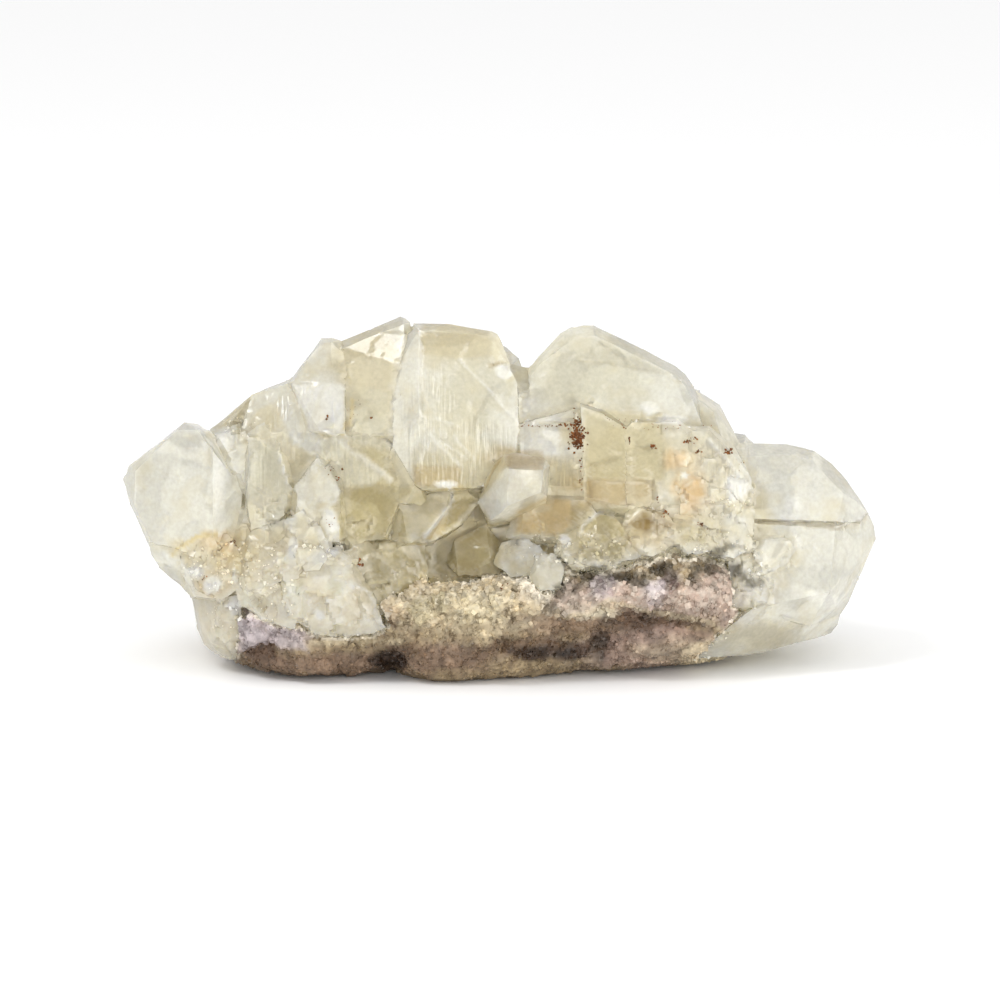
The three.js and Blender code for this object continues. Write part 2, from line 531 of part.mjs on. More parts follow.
// Crystals of the top and the back, which the front view doesn't show: cubes with cut corners, in the
// part's frame.
const BACK_CRYSTALS = [
  { at: [-5.5, 8.0, 20.5], size: [15, 14, 17], turn: [12, -8, 20] },
  { at: [11.5, 8.5, 19.5], size: [13, 13, 15], turn: [-9, 10, -24] },
  { at: [-16.5, 7.5, 17.0], size: [12, 13, 13], turn: [18, 6, 34] },
  { at: [-27.0, 4.5, 13.5], size: [11, 12, 11], turn: [-14, 12, 12] },
  { at: [19.5, 8.0, 13.5], size: [12, 12, 12], turn: [10, -16, 40] },
  { at: [28.5, 4.0, 10.5], size: [10, 11, 10], turn: [16, 8, -12] },
  { at: [2.0, 6.0, 18.5], size: [8, 10, 14], turn: [8, -6, 30] },
  { at: [2.0, 14.5, 13.0], size: [12, 9, 12], turn: [24, 18, 8] },
  { at: [-10.5, 14.0, 10.5], size: [9, 9, 10], turn: [-12, 26, 30] },
  { at: [12.5, 14.0, 10.5], size: [10, 9, 9], turn: [8, -24, 16] },
  { at: [-20.0, 11.5, 8.5], size: [9, 8, 8], turn: [30, 10, -20] },
  { at: [22.5, 11.0, 7.5], size: [9, 8, 8], turn: [-20, 16, 24] },
  { at: [-1.5, 15.5, 19.0], size: [6, 5, 6], turn: [14, 30, 18], cut: 0.1 },
  { at: [6.0, 15.0, 19.5], size: [5, 5, 6], turn: [-24, 12, 40], cut: 0.1 },
  { at: [-12.5, 14.5, 18.5], size: [5, 6, 5], turn: [20, -18, 10], cut: 0.1 },
  { at: [15.5, 14.5, 17.0], size: [5, 5, 5], turn: [16, 26, -14], cut: 0.1 },
  { at: [-22.5, 10.5, 16.0], size: [5, 6, 5], turn: [-10, 20, 28], cut: 0.1 },
  { at: [25.5, 10.0, 13.5], size: [5, 4, 5], turn: [28, 8, 6], cut: 0.1 },
  { at: [-28.0, 8.5, 8.0], size: [6, 5, 6], turn: [12, -20, 22], cut: 0.1 },
  { at: [31.5, 3.0, 16.0], size: [4, 5, 4], turn: [18, 22, 30], cut: 0.1 },
  { at: [7.0, 18.0, 10.0], size: [5, 5, 5], turn: [34, 12, 20], cut: 0.1 },
  { at: [-5.0, 18.0, 9.5], size: [6, 5, 5], turn: [-16, 22, 44], cut: 0.1 },
  { at: [-16.0, 15.0, 5.5], size: [6, 5, 5], turn: [22, 30, 12], cut: 0.1 },
  { at: [17.5, 15.5, 5.5], size: [6, 5, 5], turn: [-30, 18, 26], cut: 0.1 },
];

function frontCorners({ faces = [], corners }) {
  return [...faces.flatMap(face), ...corners.map(seen)];
}
const crystalCorners = [
  ...Object.values(FRONT_CRYSTALS).map(frontCorners),
  ...BACK_CRYSTALS.map(blockCorners),
];

// A smooth repeatable roughness in -1..1 at a point, with bumps of the given size.
function hash(i, j, k) {
  const s = Math.sin(i * 127.1 + j * 311.7 + k * 74.7) * 43758.5453;
  return 2 * (s - Math.floor(s)) - 1;
}
function roughness(p, size) {
  const [x, y, z] = [p.x / size, p.y / size, p.z / size];
  const [i, j, k] = [x, y, z].map(Math.floor);
  const [u, v, w] = [x - i, y - j, z - k].map((t) => t * t * (3 - 2 * t));
  let sum = 0;
  for (const a of [0, 1])
    for (const b of [0, 1])
      for (const c of [0, 1])
        sum += (a ? u : 1 - u) * (b ? v : 1 - v) * (c ? w : 1 - w) * hash(i + a, j + b, k + c);
  return sum;
}

// Matrix. Its foot, belly and shoulder are outlines seen from above, each run round from the left end by
// the front.
const MATRIX_FOOT = [
  [-25.5, 0], [-25.5, -5], [-22, -8.6], [-16, -11], [-11.4, -8.6], [-9, -13], [-3, -13.5], [3, -11.4],
    [9, -9],
  [15, -6.6], [20, -3], [22, 3], [19, 9], [11, 13], [0, 14], [-11, 13], [-20, 9],
];
const MATRIX_BELLY = [
  [-28.5, 0], [-28, -7.5], [-24, -13.6], [-17, -15.4], [-12, -14.2], [-7, -15.4], [-2, -15.8], [4, -15.6],
  [11, -15], [17, -14.2], [23.5, -11.2], [27, 2], [24, 11], [13, 15.5], [0, 17], [-12, 16], [-23, 10.5],
];
const MATRIX_SHOULDER = [
  [-24, 0], [-24, -7], [-21, -12], [-15, -13], [-11, -13], [-7, -13.2], [-2, -13.4], [4, -14], [11, -13.8],
  [17, -13], [22, -9.8], [24, 2], [20, 9], [11, 13], [0, 14], [-11, 13], [-20, 9],
];
const MATRIX_AROUND = 72;
// Each row of the skin: [height, share of foot, share of belly, share of shoulder]
const MATRIX_ROWS = [
  [0, 0.55, 0, 0], [0, 0.96, 0, 0], [0.06, 0.7, 0.3, 0], [0.14, 0.35, 0.65, 0], [0.23, 0.15, 0.85, 0],
  [0.32, 0.05, 0.95, 0], [0.41, 0, 1, 0], [0.5, 0, 1, 0], [0.59, 0, 0.96, 0.04], [0.68, 0, 0.85, 0.15],
  [0.77, 0, 0.65, 0.35], [0.86, 0, 0.4, 0.6], [0.95, 0, 0, 0.95], [1, 0, 0, 0.6],
];
// Lobes and hollows of the matrix's front: [right, height, half width, half height, how far out]
const FRONT_RELIEF = [
  [9, 4.6, 11, 1.3, -1.3], [10.2, 3, 1.7, 1.1, -1.6], [3.6, 2.2, 1.6, 0.8, -1.3], [6.4, 2, 1, 0.6, -1],
  [-24, 2.6, 2.2, 1.2, -1.2], [-11.2, 1.8, 1.2, 1.2, -1.4], [5.2, 7.2, 0.9, 0.9, -0.9],
    [-24.8, 6, 2.6, 2.2, 0.8],
  [10.6, 9.4, 2.2, 1.6, 0.9], [16.8, 9.8, 1.6, 1.4, 0.9], [20.5, 9, 2.8, 2.2, 0.6], [14.4, 9, 1.6, 1.2, 0.6],
  [-2.6, 6.6, 4.6, 1.6, 0.5], [19, 4, 5, 1.6, 0.5], [13, 11, 8, 0.7, -0.8], [-6, 2, 3.5, 1.6, 0.5],
];
// Bumps of the matrix's skin: [size across, how far out or in]
const SKIN_BUMPS = [[4.6, 0.9], [2, 0.55]];
const SKIN_WAVES = [2.6, 0.3]; // the same, up and down
const MATRIX_STRETCH = 2.2; // the matrix is about this much longer than deep
const DRUSE = {
  count: 56, smallest: 1.1, largest: 2.4, sunk: 0.25, low: 0.42, high: 0.92, uneven: 0.4,
  frontShare: 0.7, front: [0.06, 0.46], back: [0.5, 1], seed: 7,
};

function outlinePoints(outline) {
  const curve = new THREE.CatmullRomCurve3(outline.map(([x, y]) => new THREE.Vector3(x, y, 0)), true);
  return curve.getPoints(MATRIX_AROUND).slice(0, MATRIX_AROUND);
}
const [foot, belly, shoulder] = [MATRIX_FOOT, MATRIX_BELLY, MATRIX_SHOULDER].map(outlinePoints);

// The matrix is lower at its left end.
const topOver = (x) => MATRIX_TOP * THREE.MathUtils.clamp(0.86 + x * MATRIX_TOP_SLOPE, 0.6, 1.08);

function relief(p) {
  if (p.y > 0) return 0;
  const shape = ([x, z, wide, high, out]) => {
    const away = ((p.x - x) / wide) ** 2 + ((p.z - z) / high) ** 2;
    return out * Math.exp(-away);
  };
  return FRONT_RELIEF.reduce((sum, form) => sum + shape(form), 0);
}

// A point of the matrix's skin: i is counted round it.
function skinPoint(i, [height, ofFoot, ofBelly, ofShoulder]) {
  const p = new THREE.Vector3()
    .addScaledVector(foot[i], ofFoot)
    .addScaledVector(belly[i], ofBelly)
    .addScaledVector(shoulder[i], ofShoulder);
  p.z = height * topOver(p.x);
  const out = new THREE.Vector3(p.x / MATRIX_STRETCH, p.y, 0).normalize();
  const bumps = SKIN_BUMPS.reduce((sum, [size, amount]) => sum + amount * roughness(p, size), 0);
  p.addScaledVector(out, bumps + relief(p));
  const [waveSize, waveHeight] = SKIN_WAVES;
  if (height > 0) p.z += waveHeight * roughness(p, waveSize);
  return p;
}

function matrixSkin() {
  const points = MATRIX_ROWS.flatMap((row) => foot.map((_, i) => skinPoint(i, row)));
  const under = points.push(new THREE.Vector3(0, 0, 0)) - 1;
  const over = points.push(new THREE.Vector3(0, 0, topOver(0))) - 1;
  const faces = [];
  const last = (MATRIX_ROWS.length - 1) * MATRIX_AROUND;
  for (let i = 0; i < MATRIX_AROUND; i++) {
    const next = (i + 1) % MATRIX_AROUND;
    faces.push(under, next, i, over, last + i, last + next);
    for (let row = 0; row < last; row += MATRIX_AROUND) {
      const above = row + MATRIX_AROUND;
      faces.push(row + i, row + next, above + next, row + i, above + next, above + i);
    }
  }
  const geometry = new THREE.BufferGeometry().setFromPoints(points);
  geometry.setIndex(faces);
  return solidOf(geometry);
}

// Small crystals that grow from the matrix, most of them at its front.
function druseCorners(n) {
  const chance = (k) => 0.5 + 0.5 * hash(n, k, DRUSE.seed);
  const between = ([low, high], k) => THREE.MathUtils.lerp(low, high, chance(k));
  const turnOf = (k) => between([0, 360], k);
  const side = chance(1) < DRUSE.frontShare ? DRUSE.front : DRUSE.back;
  const around = Math.floor(between(side, 2) * MATRIX_AROUND);
  const height = between([DRUSE.low, DRUSE.high], 3);
  const p = skinPoint(around, [height, 0, 1 - height / 3, height / 3]);
  const size = THREE.MathUtils.lerp(DRUSE.smallest, DRUSE.largest, chance(4) ** 2);
  p.multiplyScalar(1 - (DRUSE.sunk * size) / p.length());
  const stretch = (k) => size * between([1 - DRUSE.uneven / 2, 1 + DRUSE.uneven / 2], k);
  const turn = [8, 9, 10].map(turnOf);
  return blockCorners({ at: p.toArray(), size: [size, stretch(5), stretch(6)], turn, cut: 0 });
}

const UP = [0, 0, 1];
const crystals = largest(join(crystalCorners.map((corners) => faceted(corners)))).trimByPlane(UP, 0);
const sockets = join(crystalCorners.map((corners) => faceted(corners, JOINT_GAP)));
const druse = join(Array.from({ length: DRUSE.count }, (_, n) => faceted(druseCorners(n))));
const matrix = largest(matrixSkin().add(druse).trimByPlane(UP, 0).subtract(sockets));

// The cluster's middle comes over the origin.
const { min, max } = crystals.add(matrix).boundingBox();
const TO_MIDDLE = [-(min[0] + max[0]) / 2, -(min[1] + max[1]) / 2, 0];

function named(name, solid, look) {
  const placed = solid.simplify(FINEST).translate(TO_MIDDLE);
  const mesh = new THREE.Mesh(geometryOf(placed), new THREE.MeshStandardMaterial(look));
  mesh.name = name;
  return mesh;
}

// Materials
const CLEAR_CRYSTAL = { color: 0xdcd8c8, roughness: 0.2, metalness: 0, transparent: true, opacity: 0.6 };
const MATRIX_STONE = { color: 0x94857c, roughness: 0.75, metalness: 0 };

const cluster = new THREE.Group();
cluster.add(named("clear_crystals", crystals, CLEAR_CRYSTAL), named("druzy_matrix", matrix, MATRIX_STONE));

export default cluster;
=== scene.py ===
# Looks of the fluorite cluster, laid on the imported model. Metres, +Z up, and the front faces -Y.
import math

import bpy
import bmesh
import numpy as np
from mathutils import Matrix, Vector
from mathutils.bvhtree import BVHTree


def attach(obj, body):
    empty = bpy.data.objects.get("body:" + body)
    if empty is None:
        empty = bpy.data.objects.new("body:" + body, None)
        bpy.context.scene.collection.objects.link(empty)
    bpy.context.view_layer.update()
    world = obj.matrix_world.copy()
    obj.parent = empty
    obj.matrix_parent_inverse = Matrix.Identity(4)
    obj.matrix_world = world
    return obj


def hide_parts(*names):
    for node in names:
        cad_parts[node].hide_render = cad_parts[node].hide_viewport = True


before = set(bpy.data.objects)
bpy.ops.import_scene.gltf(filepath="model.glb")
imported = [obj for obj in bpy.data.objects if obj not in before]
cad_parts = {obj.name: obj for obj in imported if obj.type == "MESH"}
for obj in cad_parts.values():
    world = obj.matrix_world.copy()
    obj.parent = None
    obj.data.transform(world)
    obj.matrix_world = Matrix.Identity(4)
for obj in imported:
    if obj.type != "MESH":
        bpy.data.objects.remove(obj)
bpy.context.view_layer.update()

MM = 0.001
SEED = 7

# The view of the photograph: where it looks, how far from there and how steeply down
VIEW_TARGET = Vector((-0.02, -2.415, 15.7)) * MM
VIEW_DISTANCE = 555.6 * MM
VIEW_DOWN = math.radians(10)
VIEW_MIDDLE = 17.7 * MM  # how far the target seems to be above the lowest point
LENS = 200  # mm of focal length
SENSOR = 36  # mm
FORWARD = Vector((0, math.cos(VIEW_DOWN), -math.sin(VIEW_DOWN)))
UPWARD = Vector((0, math.sin(VIEW_DOWN), math.cos(VIEW_DOWN)))
EYE = VIEW_TARGET - FORWARD * VIEW_DISTANCE

# The fine meshes that replace the two CAD nodes
CRYSTAL_CELL = 0.3 * MM
MATRIX_CELL = 0.25 * MM
OCTREE_DEPTH = 8
MERGE_WITHIN = 1e-6
MOST_TRIANGLES = 190000
EDGE_ANGLE = math.radians(24)  # a sharper bend than this is shaded as an edge
BACK_TURN = 0.1  # a place may be thinned where its normal leans further away
BACK_DEPTH = 5 * MM  # or where it lies further back
BEND = 0.02 * MM  # the bend of a full crease
FRONT_DEPTH = 4 * MM  # how far back the marks reach
FAR = 99.0  # more than any distance that is compared


# Colours are written as the eye sees them, 0 to 255, and used as linear light.
def linear(colour):
    c = np.asarray(colour, float) / 255
    return np.where(c <= 0.04045, c / 12.92, ((c + 0.055) / 1.055) ** 2.4)


# Noise on arrays of points
HASH_FACTORS = (73856093, 19349663, 83492791)
SEED_FACTOR = 2654435761
STIR_FACTOR = 1274126177
LOW_BITS = 0xFFFFFF
CHIP_EDGE = 0.25  # of a chip's size


def rise(low, high, x):
    """A smooth step from 0 at low to 1 at high."""
    t = np.clip((x - low) / (high - low), 0, 1)
    return t * t * (3 - 2 * t)


def lattice(cell, seed):
    """A random value in 0..1 for each cell."""
    bits = seed * SEED_FACTOR
    for axis, factor in enumerate(HASH_FACTORS):
        bits = bits ^ (cell[..., axis] * factor)
    bits = (bits ^ (bits >> 13)) * STIR_FACTOR
    return ((bits ^ (bits >> 16)) & LOW_BITS) / LOW_BITS


def smooth_noise(points, size, seed):
    """Smooth noise in -1..1 with bumps of about the given size."""
    scaled = points / size
    low = np.floor(scaled).astype(np.int64)
    part = scaled - low
    part = part * part * (3 - 2 * part)
    total = np.zeros(len(points))
    for corner in np.ndindex(2, 2, 2):
        weight = np.prod(np.where(np.array(corner) == 1, part, 1 - part), axis=1)
        total += weight * lattice(low + np.array(corner), seed)
    return 2 * total - 1


def layered_noise(points, layers):
    """Noises added up, each given as its amount, size and seed."""
    return sum(amount * smooth_noise(points, size, seed) for amount, size, seed in layers)


def chips(points, size, seed):
    """Leaning flat chips: each point's height in chip sizes, its chip's value and how near the edge is."""
    scaled = points / size
    home = np.floor(scaled).astype(np.int64)
    nearest = np.full(len(points), FAR)
    second = np.full(len(points), FAR)
    height = np.zeros(len(points))
    value = np.zeros(len(points))
    for step in np.ndindex(3, 3, 3):
        cell = home + np.array(step) - 1
        away = scaled - cell - np.stack([lattice(cell, seed + k) for k in (1, 2, 3)], axis=1)
        distance = np.linalg.norm(away, axis=1)
        closer = distance < nearest
        second = np.where(closer, nearest, np.minimum(second, distance))
        lean = 2 * np.stack([lattice(cell, seed + k) for k in (4, 5, 6)], axis=1) - 1
        height = np.where(closer, (away * lean).sum(axis=1), height)
        value = np.where(closer, lattice(cell, seed + 7), value)
        nearest = np.where(closer, distance, nearest)
    return height, value, 1 - rise(0, CHIP_EDGE, second - nearest)


# Places as the photograph shows them: millimetres to the right and up from the lowest point.
def seen_place(points):
    away = points - np.array(EYE)
    depth = away @ np.array(FORWARD)
    right = away[:, 0] / depth * VIEW_DISTANCE
    up = away @ np.array(UPWARD) / depth * VIEW_DISTANCE + VIEW_MIDDLE
    return right / MM, up / MM


def sight_line(right, up):
    """The direction in which the eye sees such a place."""
    on_picture = VIEW_TARGET + Vector((right * MM, 0, 0)) + UPWARD * (up * MM - VIEW_MIDDLE)
    return (on_picture - EYE).normalized()


# Meshes
def mesh_arrays(mesh):
    """The places and normals of the vertices."""
    points = np.zeros(len(mesh.vertices) * 3, np.float32)
    mesh.vertices.foreach_get("co", points)
    normals = np.zeros(len(mesh.vertices) * 3, np.float32)
    mesh.vertex_normals.foreach_get("vector", normals)
    return points.reshape(-1, 3).astype(float), normals.reshape(-1, 3).astype(float)


def apply_modifiers(piece):
    """The piece's mesh becomes what its modifiers make of it."""
    bpy.context.view_layer.update()
    evaluated = piece.evaluated_get(bpy.context.evaluated_depsgraph_get())
    result = bpy.data.meshes.new_from_object(evaluated)
    piece.modifiers.clear()
    piece.data = result
    result.name = piece.name


def dense_copy(node, name, cell, mode):
    """A fine even mesh of a CAD node."""
    piece = bpy.data.objects.new(name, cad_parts[node].data.copy())
    bpy.context.scene.collection.objects.link(piece)
    bm = bmesh.new()
    bm.from_mesh(piece.data)
    bmesh.ops.remove_doubles(bm, verts=bm.verts, dist=MERGE_WITHIN)
    bm.to_mesh(piece.data)
    bm.free()
    remesh = piece.modifiers.new("even", "REMESH")
    remesh.mode = mode
    if mode == "VOXEL":
        remesh.voxel_size = cell
    else:
        remesh.octree_depth = OCTREE_DEPTH
        remesh.scale = max(piece.dimensions) / (cell * 2 ** OCTREE_DEPTH)
        remesh.use_remove_disconnected = False
    apply_modifiers(piece)
    piece.data.shade_smooth()
    return piece


def thin_back(piece):
    """Fewer triangles on the side away from the view, so that the piece stays under its limit."""
    points, normals = mesh_arrays(piece.data)
    away = (normals @ np.array(FORWARD) > BACK_TURN) | (points[:, 1] > BACK_DEPTH)
    group = piece.vertex_groups.new(name="away")
    group.add(np.flatnonzero(away).tolist(), 1.0, "REPLACE")
    thin = piece.modifiers.new("thin", "DECIMATE")
    thin.ratio = min(1, MOST_TRIANGLES / (2 * len(piece.data.polygons)))
    thin.vertex_group = "away"
    apply_modifiers(piece)
    piece.vertex_groups.clear()


def move_out(mesh, amount):
    points, normals = mesh_arrays(mesh)
    moved = (points + normals * amount[:, None]).astype(np.float32)
    mesh.vertices.foreach_set("co", moved.ravel())
    mesh.update()
    mesh.set_sharp_from_angle(angle=EDGE_ANGLE)


def paint(mesh, name, colours):
    layer = mesh.color_attributes.new(name, "FLOAT_COLOR", "POINT")
    rgba = np.ones((len(mesh.vertices), 4), np.float32)
    rgba[:, :3] = colours
    layer.data.foreach_set("color", rgba.ravel())


def neighbours_mean(mesh, values, rounds=1):
    """Each vertex's value averaged with its neighbours' values."""
    edges = np.zeros(len(mesh.edges) * 2, np.int32)
    mesh.edges.foreach_get("vertices", edges)
    a, b = edges.reshape(-1, 2).T
    shape = (-1,) + (1,) * (values.ndim - 1)
    count = np.maximum(np.bincount(edges, minlength=len(values)), 1).reshape(shape)
    for _ in range(rounds):
        total = np.zeros_like(values)
        np.add.at(total, a, values[b])
        np.add.at(total, b, values[a])
        values = total / count
    return values


def hollowness(mesh, rounds):
    """About -1 on sharp outer edges, 0 on flat faces and 1 in creases between crystals."""
    points, normals = mesh_arrays(mesh)
    bend = ((neighbours_mean(mesh, points) - points) * normals).sum(axis=1)
    return np.clip(neighbours_mean(mesh, bend, rounds) / BEND, -1, 1)


# Colours of the crystals and of the matrix
PALETTE = {
    "milk": (233, 232, 224),
    "cream": (238, 230, 204),
    "sand": (210, 199, 166),
    "olive": (188, 175, 130),
    "tan": (182, 158, 108),
    "ochre": (186, 162, 110),
    "shaded_recess": (178, 162, 114),
    "yellow": (228, 205, 138),
    "amber": (222, 182, 122),
    "white": (248, 247, 242),
    "lilac": (190, 179, 180),
    "plum": (128, 108, 112),
    "rose": (172, 152, 138),
    "umber": (120, 98, 80),
    "bark": (72, 46, 26),
    "pitch": (34, 20, 8),
    "crust": (152, 134, 104),
    "moss": (56, 48, 28),
    "sugar": (224, 216, 200),
    "beige": (202, 187, 156),
    "khaki": (198, 187, 150),
    "greige": (190, 183, 170),
    "honey": (222, 198, 148),
    "pale": (252, 244, 226),
    "mauve": (142, 118, 106),
    "bronze": (140, 112, 56),
    "sage": (214, 210, 190),
    "shade": (144, 132, 94),
}

# Each patch: [colour, right, up, reach to the side, reach up, strength], in mm as the photograph shows it
CRYSTAL_PATCHES = [
    ["milk", -32, 18, 7, 8, 0.9], ["cream", -24.5, 25.8, 3.6, 3.4, 0.9],
    ["olive", -20, 20.6, 1.4, 2, 0.6], ["sage", -23.2, 19.5, 2, 4.6, 0.8], ["sand", -12.6, 30, 4, 6, 0.8],
    ["olive", -12.6, 19.5, 4.2, 4.4, 0.85], ["sand", -4, 33.6, 5, 2.6, 0.8],
    ["milk", -9.3, 28, 1.2, 8, 0.8], ["khaki", -3.6, 20.6, 5, 3, 0.8], ["olive", -6.5, 17.6, 3.5, 2, 0.8],
    # The pale rows are the milky lobe and base low on the left: their real milky white, made lighter with
    # painted light on faces turned downward
    ["white", 3.6, 24.4, 2, 5, 0.7], ["pale", -24, 10, 5, 5, 0.9], ["pale", -16.5, 7.4, 4.4, 4, 0.9],
    ["pale", -28, 5, 2.4, 3, 0.9], ["honey", -23, 13.4, 3, 1.2, 0.35], ["honey", -28.4, 9.8, 2, 2, 0.5],
    ["ochre", 7.6, 24.2, 1.1, 1.6, 0.5], ["honey", -27.4, 12.2, 1.4, 1, 0.6],
    ["sand", -14, 16, 3.4, 3, 0.5], ["cream", 4.6, 10, 3, 2.4, 0.7], ["lilac", 23.4, 8, 1.6, 2.6, 0.5],
    ["khaki", 26, 4, 4, 1.6, 0.5], ["sage", 8.6, 30.6, 7, 4, 0.8], ["sage", -3.6, 27, 4, 5.4, 0.9],
    ["sand", 6.6, 20, 2.2, 3, 0.9], ["sand", 12.6, 22.5, 5.4, 3.6, 0.8],
    ["tan", 11, 18.6, 4.6, 2.2, 0.75], ["sand", 19.5, 20, 4.4, 5.4, 0.6],
    ["amber", 19, 18.6, 1.6, 2.6, 0.8], ["amber", 17.6, 21.6, 1.3, 1.1, 0.6],
    ["tan", 1.6, 21.8, 3, 1, 0.6], ["cream", 2.4, 19, 2.6, 2, 0.9], ["tan", 5.2, 15.6, 3.8, 2, 0.95],
    ["olive", 9.8, 14, 4, 2.6, 0.9], ["ochre", 15, 15, 2.8, 2.4, 0.8],
    # The recess row is painted shade in the deep hollow between crystals
    ["sand", 20.5, 14.4, 3.6, 1.8, 0.7], ["shaded_recess", -3, 13, 4.4, 4, 0.95],
    ["olive", -13, 16, 3.4, 3, 0.8], ["olive", -10.4, 10.4, 4, 3.8, 0.95],
    ["yellow", -4.8, 16.4, 1.9, 2.4, 0.85], ["yellow", -29.2, 12.4, 3.6, 1.6, 0.5],
    ["amber", -27.6, 13.4, 2.4, 1, 0.5], ["yellow", -8.4, 9.4, 1.8, 1.6, 0.8],
    ["yellow", -25.3, 12.4, 1.2, 2.8, 0.5], ["sand", 25.6, 15.6, 1.4, 4, 0.5],
    ["milk", -18, 25, 2, 2, 0.7],
]
